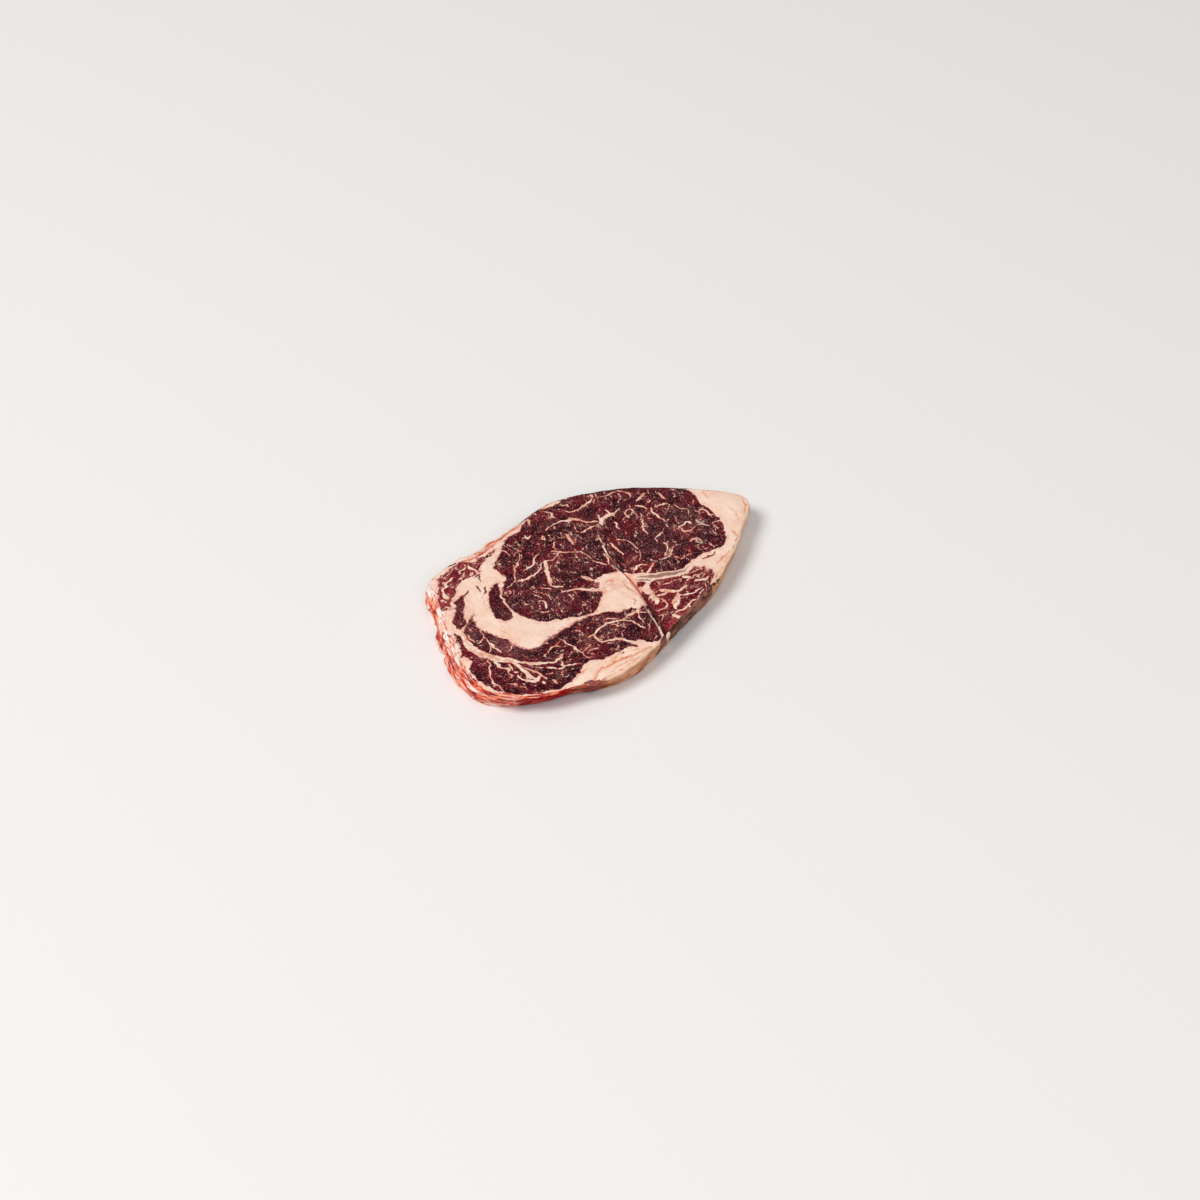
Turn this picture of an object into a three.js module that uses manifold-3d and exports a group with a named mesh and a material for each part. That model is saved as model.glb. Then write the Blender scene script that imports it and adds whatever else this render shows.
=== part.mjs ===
// A raw ribeye steak: one boneless slice across the rib muscles, lying on one of its two cut faces.
//
// Frame: millimetres, +Z up, the long way of the slice along X. The lower cut face is flat and lies
// in z = 0, and the origin is on it, under the middle of the slice's box.
//
// The body is a stack of closed rings. Rings that shrink towards the middle make the upper cut face,
// with the low swell of the muscles in it. Rings that run down round the slice make its wall, which
// leans out on the torn side at the upper left and is undercut along the long lower side. A narrow V
// is then cut along the crease that crosses the face and breaks through the rim in a notch.

import * as THREE from 'three';
import { mergeVertices } from 'three/addons/utils/BufferGeometryUtils.js';
import Module from 'manifold-3d';

// ---- driving dimensions (mm) ----

const THICKNESS = 13;
const WALL_BULGE = 2;
const EYE_SWELL = 0.6;
const CAP_SWELL = 0.5;
const FAT_SWELL = 0.5;
const SWELL_WIDTH = 7;
const RIM_FALL = 0.5;
const RIM_FALL_WIDTH = 6;
const TIP_DROOP = { fall: 1.4, along: [-0.6, -0.8], from: 50, to: 80 };

// The upper edge of the wall, anticlockwise in plan: x, y, and how far the foot of the wall stands
// outside it (or inside it, where negative).
const EDGE = [
  [-56, 57, 0], [-64.5, 43.5, 1.4], [-74, 29.5, 2.4], [-82, 17, 2.5], [-89.5, 4, 1.2],
  [-94, -9, -1.8], [-91.5, -23, -5.5], [-80.5, -36.2, -8], [-65, -45, -8.2], [-50, -53.5, -6],
  [-30, -56.6, -2.6], [-8, -55.5, -3.6], [15, -52, -3.2], [38, -48.6, -2.4], [62, -41, -4],
  [82, -31.5, -4], [96, -23.8, -2.5], [98.6, -18, -1], [91, -2.5, 0.5], [80, 13.2, 1.5],
  [64, 31, 2], [48, 43, 2], [30, 52.6, 2], [8, 53.8, 2], [-18, 55.4, 2], [-40, 58, 2.5],
];

// Plan outlines of the two large muscles, which stand a little proud of the fat round them: the
// round eye of the slice, and the cap muscle that wraps its lower left.
const EYE = [
  [-9, 51], [8, 56], [40, 51], [66, 33], [80, 14], [82, -4], [76, -24], [63, -34], [44, -30],
  [23, -20], [9, -4], [-6, -12], [-20, -19], [-38, -5], [-43, 12], [-33, 30], [-25, 44],
];
const CAP = [
  [-74, 18], [-66, 20], [-63, 2], [-56, -14], [-30, -17], [-8, -30], [2, -42], [-9, -54],
  [-24, -50], [-48, -40], [-70, -40], [-86, -27], [-91, -8], [-83, 10],
];

// Low swells of fat: the thick pad left of the eye, the island under it, and the wedge that ends
// the slice on the right. Each has a middle and how far it reaches in x and y.
const PADS = [
  { at: [-53, 2], reach: [9, 24] },
  { at: [-1, -20], reach: [12, 8] },
  { at: [87, -18], reach: [8, 14] },
];

// The crease, from the middle of the eye to the notch in the rim: x, y, and how deep it is cut.
const CREASE = [
  [27, 18, 0.2], [20, 5, 0.6], [13, -9, 1], [9.5, -20, 1.2], [4, -34, 1.4], [-2, -46, 1.8],
  [-7, -54, 2.6], [-12, -62.5, 4.2],
];
const CREASE_SLOPE = 0.75;
const CREASE_HEADROOM = 5;
const CREASE_STEPS = 36;

// The fold under the lobe of fat on the long lower side, and the ridges of the torn membrane on
// the side that leans out.
const FOLD = { from: -60, to: -12, fade: 9, depth: 1.8, height: 0.42, spread: 0.12 };
const RIDGES = { depth: 0.55, wavesDown: 2.5, wavesRound: 6, fullAtFlare: 3 };

// The nicks along the rim, as waves of unlike length. They are deepest on the torn side.
const NICKS = [
  { size: 0.12, waves: 19 },
  { size: 0.1, waves: 33 },
  { size: 0.08, waves: 55 },
];
const TORN_NICKS = 4;

const STEPS_ROUND = 152;
const FACE_RINGS = 14;
const WALL_RINGS = 10;
const MIDDLE = new THREE.Vector2(-2, -2);

const MEAT_COLOUR = 0x5d2f33;

// ---- measuring in plan ----

function closedCurve(points) {
  const corners = points.map(([x, y, extra = 0]) => new THREE.Vector3(x, y, extra));
  return new THREE.CatmullRomCurve3(corners, true, 'centripetal');
}

const EYE_LINE = closedCurve(EYE).getSpacedPoints(64);
const CAP_LINE = closedCurve(CAP).getSpacedPoints(64);
const EDGE_LINE = closedCurve(EDGE).getSpacedPoints(STEPS_ROUND).slice(0, STEPS_ROUND);

// Distance from a point to a closed line, positive inside it.
function depthInside(line, x, y) {
  let nearest = Infinity;
  let inside = false;
  for (let i = 0; i < line.length; i += 1) {
    const a = line[i];
    const b = line[(i + 1) % line.length];
    const run = (b.x - a.x) ** 2 + (b.y - a.y) ** 2;
    const along = run === 0 ? 0 : ((x - a.x) * (b.x - a.x) + (y - a.y) * (b.y - a.y)) / run;
    const t = THREE.MathUtils.clamp(along, 0, 1);
    nearest = Math.min(nearest, Math.hypot(x - a.x - t * (b.x - a.x), y - a.y - t * (b.y - a.y)));
    const crosses = (a.y > y) !== (b.y > y);
    if (crosses && x < a.x + ((y - a.y) * (b.x - a.x)) / (b.y - a.y)) inside = !inside;
  }
  return inside ? nearest : -nearest;
}

// ---- the upper cut face ----

function padSwell(x, y) {
  return PADS.reduce((sum, { at, reach }) => {
    const away = ((x - at[0]) / reach[0]) ** 2 + ((y - at[1]) / reach[1]) ** 2;
    return sum + FAT_SWELL * Math.exp(-away);
  }, 0);
}

function faceHeight(x, y) {
  const eye = THREE.MathUtils.smoothstep(depthInside(EYE_LINE, x, y), 0, SWELL_WIDTH);
  const cap = THREE.MathUtils.smoothstep(depthInside(CAP_LINE, x, y), 0, SWELL_WIDTH);
  const rim = THREE.MathUtils.smoothstep(depthInside(EDGE_LINE, x, y), 0, RIM_FALL_WIDTH);
  const outAtTip = x * TIP_DROOP.along[0] + y * TIP_DROOP.along[1];
  const droop = TIP_DROOP.fall * THREE.MathUtils.smoothstep(outAtTip, TIP_DROOP.from, TIP_DROOP.to);
  return THICKNESS + eye * EYE_SWELL + cap * CAP_SWELL + padSwell(x, y)
    - RIM_FALL * (1 - rim) - droop;
}

// ---- the wall ----

// How strongly a place on the rim belongs to the torn side, from 0 to 1.
function tornShare(flare) {
  return THREE.MathUtils.clamp(flare / RIDGES.fullAtFlare, 0, 1);
}

function nickedEdge() {
  return EDGE_LINE.map((corner, i) => {
    const before = EDGE_LINE[(i + STEPS_ROUND - 1) % STEPS_ROUND];
    const after = EDGE_LINE[(i + 1) % STEPS_ROUND];
    const out = new THREE.Vector2(after.y - before.y, before.x - after.x).normalize();
    const turn = (i / STEPS_ROUND) * 2 * Math.PI;
    const wave = NICKS.reduce((sum, { size, waves }) => sum + size * Math.sin(waves * turn), 0);
    const torn = corner.x < 0 ? tornShare(corner.z) : 0;
    return {
      at: new THREE.Vector2(corner.x, corner.y).addScaledVector(out, wave * (1 + TORN_NICKS * torn)),
      out,
      flare: corner.z,
      height: faceHeight(corner.x, corner.y),
      turn,
      torn,
    };
  });
}

// How strongly a place on the rim belongs to the folded lobe of fat, from 0 to 1.
function foldShare(corner) {
  if (corner.at.y > 0) return 0;
  const rise = THREE.MathUtils.smoothstep(corner.at.x, FOLD.from, FOLD.from + FOLD.fade);
  return rise * (1 - THREE.MathUtils.smoothstep(corner.at.x, FOLD.to - FOLD.fade, FOLD.to));
}

// One ring of the wall: share is 0 at the upper edge and 1 at the foot.
function wallRing(rim, share) {
  const angle = share * Math.PI;
  const down = (1 - Math.cos(angle)) / 2;
  return rim.map((corner) => {
    const ridge = Math.sin(2 * RIDGES.wavesDown * angle + RIDGES.wavesRound * corner.turn);
    const fold = FOLD.depth * foldShare(corner)
      * Math.exp(-(((1 - down - FOLD.height) / FOLD.spread) ** 2));
    const outset = corner.flare * down + WALL_BULGE * Math.sin(angle) ** 0.6
      + RIDGES.depth * corner.torn * ridge * Math.sin(angle) - fold;
    const place = corner.at.clone().addScaledVector(corner.out, outset);
    return new THREE.Vector3(place.x, place.y, corner.height * (1 - down));
  });
}

function faceRing(rim, share) {
  return rim.map((corner) => {
    const place = MIDDLE.clone().lerp(corner.at, share);
    const height = share === 1 ? corner.height : faceHeight(place.x, place.y);
    return new THREE.Vector3(place.x, place.y, height);
  });
}

// ---- joining rings into a closed body ----

function bodyGeometry() {
  const rim = nickedEdge();
  const rings = [];
  for (let i = 1; i <= FACE_RINGS; i += 1) rings.push(faceRing(rim, i / FACE_RINGS));
  for (let i = 1; i <= WALL_RINGS; i += 1) rings.push(wallRing(rim, i / WALL_RINGS));

  const top = new THREE.Vector3(MIDDLE.x, MIDDLE.y, faceHeight(MIDDLE.x, MIDDLE.y));
  const bottom = new THREE.Vector3(MIDDLE.x, MIDDLE.y, 0);
  const corners = [top, ...rings.flat(), bottom];
  const index = [];
  const last = corners.length - 1;
  for (let i = 0; i < STEPS_ROUND; i += 1) {
    const next = (i + 1) % STEPS_ROUND;
    index.push(0, 1 + i, 1 + next);
    for (let ring = 0; ring < rings.length - 1; ring += 1) {
      const inner = 1 + ring * STEPS_ROUND;
      const outer = inner + STEPS_ROUND;
      index.push(inner + i, outer + i, outer + next);
      index.push(inner + i, outer + next, inner + next);
    }
    const foot = 1 + (rings.length - 1) * STEPS_ROUND;
    index.push(last, foot + next, foot + i);
  }
  const geometry = new THREE.BufferGeometry().setFromPoints(corners);
  geometry.setIndex(index);
  return geometry;
}

// The V that is cut along the crease. It widens upwards, so a deeper stretch is also wider.
function creaseGeometry() {
  const path = new THREE.CatmullRomCurve3(
    CREASE.map(([x, y, depth]) => new THREE.Vector3(x, y, THICKNESS - depth)),
  );
  const halfWidth = CREASE_HEADROOM * CREASE_SLOPE;
  const section = new THREE.Shape([
    new THREE.Vector2(0, 0),
    new THREE.Vector2(-CREASE_HEADROOM, halfWidth),
    new THREE.Vector2(-CREASE_HEADROOM, -halfWidth),
  ]);
  return new THREE.ExtrudeGeometry(section, { steps: CREASE_STEPS, extrudePath: path });
}

// ---- booleans ----

const wasm = await Module();
wasm.setup();

function toSolid(geometry) {
  const bare = geometry.clone();
  bare.deleteAttribute('normal');
  bare.deleteAttribute('uv');
  const merged = mergeVertices(bare, 1e-4);
  const mesh = new wasm.Mesh({
    numProp: 3,
    vertProperties: new Float32Array(merged.attributes.position.array),
    triVerts: new Uint32Array(merged.index.array),
  });
  return new wasm.Manifold(mesh);
}

function toGeometry(solid) {
  const mesh = solid.getMesh();
  const geometry = new THREE.BufferGeometry();
  geometry.setAttribute('position', new THREE.BufferAttribute(mesh.vertProperties, 3));
  geometry.setIndex(new THREE.BufferAttribute(mesh.triVerts, 1));
  geometry.computeVertexNormals();
  return geometry;
}

// Puts the origin under the middle of the box, on the lower face.
function onItsOrigin(geometry) {
  geometry.computeBoundingBox();
  const middle = geometry.boundingBox.getCenter(new THREE.Vector3());
  return geometry.translate(-middle.x, -middle.y, -geometry.boundingBox.min.z);
}

function meatMaterial() {
  return new THREE.MeshStandardMaterial({ color: MEAT_COLOUR, roughness: 0.42, metalness: 0 });
}

function steak() {
  const body = toSolid(bodyGeometry()).subtract(toSolid(creaseGeometry()));
  const mesh = new THREE.Mesh(onItsOrigin(toGeometry(body)), meatMaterial());
  mesh.name = 'steak';
  return mesh;
}

const group = new THREE.Group();
group.add(steak());

export default group;
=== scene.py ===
import math

import bpy
import numpy as np
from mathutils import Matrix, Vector
from mathutils.geometry import delaunay_2d_cdt


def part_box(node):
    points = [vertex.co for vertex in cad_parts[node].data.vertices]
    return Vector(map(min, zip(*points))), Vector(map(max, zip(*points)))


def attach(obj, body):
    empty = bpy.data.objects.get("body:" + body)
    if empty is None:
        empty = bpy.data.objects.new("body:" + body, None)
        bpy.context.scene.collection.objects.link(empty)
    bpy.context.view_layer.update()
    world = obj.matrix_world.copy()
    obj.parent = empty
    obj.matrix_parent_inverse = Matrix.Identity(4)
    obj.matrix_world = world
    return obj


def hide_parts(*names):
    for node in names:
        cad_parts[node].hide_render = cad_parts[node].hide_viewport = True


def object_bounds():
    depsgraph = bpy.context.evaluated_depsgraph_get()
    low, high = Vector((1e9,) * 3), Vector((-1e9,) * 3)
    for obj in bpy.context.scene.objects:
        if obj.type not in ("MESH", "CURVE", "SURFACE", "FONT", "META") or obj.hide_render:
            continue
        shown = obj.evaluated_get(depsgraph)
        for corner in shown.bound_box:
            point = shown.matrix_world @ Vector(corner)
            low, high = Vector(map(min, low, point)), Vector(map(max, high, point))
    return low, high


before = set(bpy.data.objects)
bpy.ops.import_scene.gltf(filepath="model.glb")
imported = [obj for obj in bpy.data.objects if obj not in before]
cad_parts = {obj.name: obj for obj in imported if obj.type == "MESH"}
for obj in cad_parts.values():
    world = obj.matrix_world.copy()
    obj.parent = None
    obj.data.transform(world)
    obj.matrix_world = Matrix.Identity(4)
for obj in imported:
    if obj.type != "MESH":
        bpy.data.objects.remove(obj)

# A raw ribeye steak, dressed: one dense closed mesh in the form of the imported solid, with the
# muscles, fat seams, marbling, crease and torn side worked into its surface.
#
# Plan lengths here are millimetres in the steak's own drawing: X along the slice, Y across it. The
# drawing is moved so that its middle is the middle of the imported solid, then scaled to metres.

MM = 0.001
SEED = 11
CAD_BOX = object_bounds()

# ---- the slice's form, as in the solid (mm) ----

THICKNESS = 13.0
WALL_BULGE = 2.0
EYE_SWELL = 0.6
CAP_SWELL = 0.5
FAT_SWELL = 0.5
SWELL_WIDTH = 7.0
RIM_FALL = 0.5
RIM_FALL_WIDTH = 6.0
DROOP_FALL = 1.4
DROOP_ALONG = (-0.6, -0.8)
DROOP_FROM = 50.0
DROOP_TO = 80.0

# The upper edge of the wall, anticlockwise: x, y, and how far the foot of the wall stands outside.
EDGE = [
    (-56, 57, 0), (-64.5, 43.5, 1.4), (-74, 29.5, 2.4), (-82, 17, 2.5), (-89.5, 4, 1.2),
    (-94, -9, -1.8), (-91.5, -23, -5.5), (-80.5, -36.2, -8), (-65, -45, -8.2), (-50, -53.5, -6),
    (-30, -56.6, -2.6), (-8, -55.5, -3.6), (15, -52, -3.2), (38, -48.6, -2.4), (62, -41, -4),
    (82, -31.5, -4), (96, -23.8, -2.5), (98.6, -18, -1), (91, -2.5, 0.5), (80, 13.2, 1.5),
    (64, 31, 2), (48, 43, 2), (30, 52.6, 2), (8, 53.8, 2), (-18, 55.4, 2), (-40, 58, 2.5),
]
# Where the fat swells, as middle and reach along X and Y.
PADS = [(-53, 2, 9, 24), (-1, -20, 12, 8), (87, -18, 8, 14)]
# Small waves in the edge: size, and how many in the whole round.
NICKS = [(0.12, 19), (0.1, 33), (0.08, 55)]
TORN_NICKS = 4.0
FINE_NICKS = [(0.05, 131), (0.04, 217)]
# The shelf folded into the torn side, and the ridges there.
FOLD_FROM, FOLD_TO, FOLD_FADE = -60.0, -12.0, 9.0
FOLD_DEPTH, FOLD_HEIGHT, FOLD_SPREAD = 1.8, 0.42, 0.12
RIDGE_DEPTH, RIDGE_DOWN, RIDGE_ROUND, RIDGE_FULL_FLARE = 0.55, 2.5, 6, 3.0
# How full the wall's bulge is, how its ridges fade at top and foot, and how large the strands are
# where it isn't torn.
BULGE_POWER, RIDGE_POWER, SMOOTH_STRANDS = 0.6, 0.7, 0.35

# The crease: x, y, depth.
CREASE = [
    (26.5, 17.5, 0.25), (20, 5.5, 0.5), (16.3, -1, 0.6), (13.8, -8.5, 0.8), (11.6, -17, 1.0),
    (8.3, -25, 1.1), (4.6, -33, 1.1), (0.6, -41, 1.2), (-3.2, -49, 1.4), (-6.8, -55, 1.9),
    (-10.5, -60, 2.8),
]
CREASE_HALF_WIDTH = 0.55
CREASE_LIP, CREASE_LIP_MIDDLE, CREASE_LIP_WIDTH = 0.28, 1.3, 0.6
CREASE_BANK, CREASE_BANK_WIDTH = 0.3, 2.5
CREASE_REACH = 9.0

# ---- the fine relief (mm) ----

# Dents along lines: depth, and how far they reach beyond the line.
DENTS = {"line": (0.12, 0.3), "blood": (0.25, 0.2), "fold": (0.75, 0.5)}
LOBE_HEIGHT, LOBE_HALF_WIDTH = 0.55, 2.2
SEAM_PROUD = 0.1
FAT_PROUD = 0.12
# Waviness: wave length and size. Each is the sum of plane waves of about that length.
WAVES = 7
WAVE_SPREAD = (0.7, 1.5)
FACE_WAVES = [(9, 0.07), (3.2, 0.035)]
UNDER_WAVES = (11, 0.05)
UNDER_LEAN_DENT = 0.1
# Ridges along the side: how many, their size, and their waves down the side and round it.
STRANDS = 12
STRAND_SIZE = (0.1, 0.22)
STRAND_WAVES_DOWN = (1.5, 7.5)
STRAND_WAVES_ROUND = 26

# ---- the muscles (mm) ----

# Outlines in plan. What no muscle covers is fat.
EYE = [
    (-13, 48), (-6, 51.3), (3, 50.8), (12, 54), (20, 57), (25, 52.5), (33, 50.5), (42, 50.5),
    (55, 43), (68, 32), (81, 16), (84.5, 8), (83.3, 1), (80.5, -5), (79.5, -13), (76.5, -22),
    (71, -29.5), (66, -34), (59, -34.8), (51, -31.8), (43, -30.5), (35, -31), (28, -26.5),
    (21, -20.5), (15, -13.5), (11.5, -8), (6, -4.5), (0, -3.6), (-4, -7), (-5, -12), (-9, -15.2),
    (-14, -18), (-19, -19), (-25, -17), (-29, -13), (-33, -10.5), (-38, -7), (-42, -3),
    (-44, 4), (-44.2, 12), (-42.8, 17.6), (-39.9, 22.8), (-36.6, 26.6), (-32.5, 28.5), (-28, 32.4),
    (-28, 37), (-27, 41), (-22, 44), (-16, 46),
]
CAP = [
    (-59, 25.2), (-62.5, 23.8), (-66, 22.6), (-69, 21.6), (-71.2, 20.2), (-73.2, 20), (-75, 23),
    (-76, 22), (-77.4, 20), (-79.3, 17.6), (-79.6, 15.2), (-82, 12.7), (-84, 10), (-85.2, 8.4),
    (-84.6, 6.2), (-84.8, 3.4), (-86.6, 1.4), (-89.2, -0.4), (-90.4, -4), (-91.8, -9), (-91, -13),
    (-91.2, -18.5), (-89.6, -22.5), (-86.5, -27.5), (-84.3, -30.3), (-82, -33), (-79.5, -35.4),
    (-76, -37.4), (-72.5, -39.2), (-70, -41.3), (-66, -42), (-61, -42.7), (-54, -41.3),
    (-49.5, -39.8), (-45, -41), (-42.5, -43.6), (-38, -45), (-33, -46.6), (-27.5, -48), (-25.2, -49.6),
    (-23.6, -51.2), (-22.6, -49), (-20.5, -48.5), (-19.3, -50), (-17.5, -53), (-14.5, -55.2),
    (-11, -58), (-8, -57), (-4, -49), (0, -42), (3, -36), (1, -34), (-3, -33.4), (-3.6, -30.2),
    (-9, -29), (-14, -24.5), (-20, -20.5), (-27, -17.8), (-34, -16.5), (-42, -15.5), (-50, -15),
    (-55.5, -15), (-60, -13), (-62, -9), (-62.4, -5), (-61.8, 1.5), (-63.2, 4), (-64, 9),
    (-65, 13.5), (-65, 16.5), (-63.3, 20.5), (-61.5, 22.8),
]
STRIP = [
    (-34.4, 32), (-37, 32.2), (-40, 31), (-44.6, 28.2), (-48, 24.6), (-51.5, 19.8), (-54, 14.5),
    (-53.4, 11), (-51.8, 8.8), (-48.9, 8.2), (-46.8, 9.7), (-45.5, 12.4), (-44.4, 16),
    (-42.8, 20.4), (-39.9, 24.6), (-36.4, 28.4),
]
CORNER = [
    (-67.4, 40), (-66, 44), (-61.5, 47.5), (-57, 51), (-53, 54.5), (-50.5, 56.6), (-45, 56.8),
    (-36, 57.6), (-33.5, 55.5), (-31.5, 52.6), (-28.5, 51), (-26, 52.9), (-24.6, 50.2), (-20, 50.2),
    (-16, 50), (-22, 48.5), (-28, 47.4), (-32, 46), (-35, 44.2), (-40, 44.6), (-44, 46),
    (-48, 45.5), (-52, 43.5), (-57, 41), (-61, 38.5), (-64, 36), (-66.2, 37),
]
SLIVER = [
    (-53.2, 38.6), (-58, 38.2), (-60.5, 35.8), (-64, 33.2), (-67, 30.8), (-70, 28.8),
    (-71.3, 25.6), (-72, 22.8), (-69, 22.2), (-67, 22.6), (-65, 25), (-63, 28), (-59.8, 30.4),
    (-57.6, 32.4), (-55.2, 35), (-53, 37.2),
]
BELLY = [
    (-8, -57.5), (-4, -50), (0, -42), (3, -36), (5.6, -31), (8, -27), (9.6, -31.5), (12.2, -31.5),
    (13.2, -28.4), (16.5, -25.6), (20, -27.4), (28.5, -33.6), (35, -35.2), (41, -35.4), (43, -39),
    (41.5, -41), (44, -43), (42, -46.5), (36, -47.7), (34, -51), (20, -54.5), (5, -57.5),
]
NOOK = [(9.8, -22.4), (11.5, -20.4), (15, -23), (13.5, -25), (10.4, -24.6)]

# Each muscle: outline, the way its fibres run (degrees from +X, or None for round GRAIN_MIDDLE),
# its redness, how much fine marbling it has, and how ragged its edge is.
MUSCLES = {
    "eye": (EYE, 62, 0.15, 0.5, 0.5),
    "cap": (CAP, None, 0.1, 0.45, 0.6),
    "strip": (STRIP, 60, 0.35, 0.3, 0.4),
    "corner": (CORNER, 30, 1.5, 0.9, 0.9),
    "sliver": (SLIVER, 50, 0.3, 0.4, 0.9),
    "belly": (BELLY, 10, 1.0, 0.6, 0.8),
    "nook": (NOOK, 10, 1.3, 0.5, 0.6),
}
GRAIN_MIDDLE = (-34.0, 8.0)
GRAIN_TURN = 48.0
GRAIN_APART = 40.0

# Seams of fat that show on the face: the wide ones as x, y, half width.
WIDE_SEAMS = [
    [(-73.6, 25, 1.6), (-73.6, 20, 1.9), (-75.6, 15, 1.5), (-77.7, 10.5, 1.8), (-78, 5, 1.8),
     (-77.6, 0, 1.9), (-76, -4.5, 2.3), (-73.8, -9, 2), (-71.4, -13, 1.3), (-69.3, -17, 0.9),
     (-67.3, -20.3, 1.2), (-64.5, -23.3, 0.9), (-62, -25.5, 0.75), (-59.5, -28, 0.65),
     (-55, -28.5, 0.6), (-51, -27.5, 0.25)],
    [(-78.5, -7, 0.9), (-78.7, -12, 0.6), (-77, -14.5, 0.7), (-79, -17, 0.45), (-79.9, -20, 0.25)],
    [(-72.6, -13, 0.7), (-72.5, -18, 0.9), (-73, -22, 0.9), (-73.6, -26, 0.8), (-73, -29, 0.9)],
    [(-77, -20.4, 0.4), (-77.8, -23, 0.6), (-76.2, -27, 0.8), (-74, -29.8, 0.8), (-71, -29, 0.9)],
    [(-32, -29.5, 0.35), (-33, -34, 0.58), (-32, -37, 0.55), (-27, -40, 0.78), (-24, -45, 0.86),
     (-21.5, -51, 1.17)],
    [(12, 40, 0.5), (17, 40.2, 0.45), (22, 38.6, 0.55), (26, 36, 1.2), (28.8, 32.5, 0.8),
     (30.5, 28.5, 0.45), (33.5, 25, 0.68)],
    [(33, 21.6, 0.68), (35.5, 23.5, 1.27), (38.5, 24, 0.94), (42, 23.6, 1.6), (45, 22.6, 0.51),
     (48, 22.8, 0.3)],
    [(35.5, 23.5, 0.77), (37.5, 27.5, 0.34)],
    [(42.5, 23.6, 0.68), (42.6, 20.3, 0.26)],
    [(55.5, 18.5, 0.34), (58, 16, 0.77), (58.3, 12, 0.34)],
    [(-6.5, 24.5, 0.68), (-9.5, 21, 0.94), (-13, 17, 1.1), (-16, 13, 0.85), (-18.3, 10, 0.51)],
    [(-18, 2.5, 0.42), (-12.5, -1.5, 0.77), (-8.3, -6, 0.94), (-3.5, -11.5, 1.27)],
    [(-3.5, 3, 0.68), (-1.5, -3, 1.02)],
    [(12.4, 55, 0.9), (11.4, 51.5, 0.7), (9.6, 49.7, 0.5)],
    [(9.8, -48.4, 0.6), (12, -45.6, 1.5), (15.5, -43.9, 1.3), (18.5, -41.8, 0.9),
     (20.5, -40.4, 0.5)],
    [(5.4, -49.4, 0.7), (6.3, -54, 1)],
    [(15.2, -33, 0.9), (17.6, -37.4, 1.1), (20.6, -40, 1), (24, -40.6, 0.8), (26.8, -40.4, 0.4)],
    [(10.3, -31, 1.2), (8.6, -35, 1.4), (7, -38, 1)],
    [(30.2, -35.6, 0.8), (32, -37.2, 0.9)],
    [(-58.4, 46, 0.8), (-58.3, 42.6, 1)],
    [(-64.6, 38.5, 0.5), (-63.4, 36.2, 0.9)],
]
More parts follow.
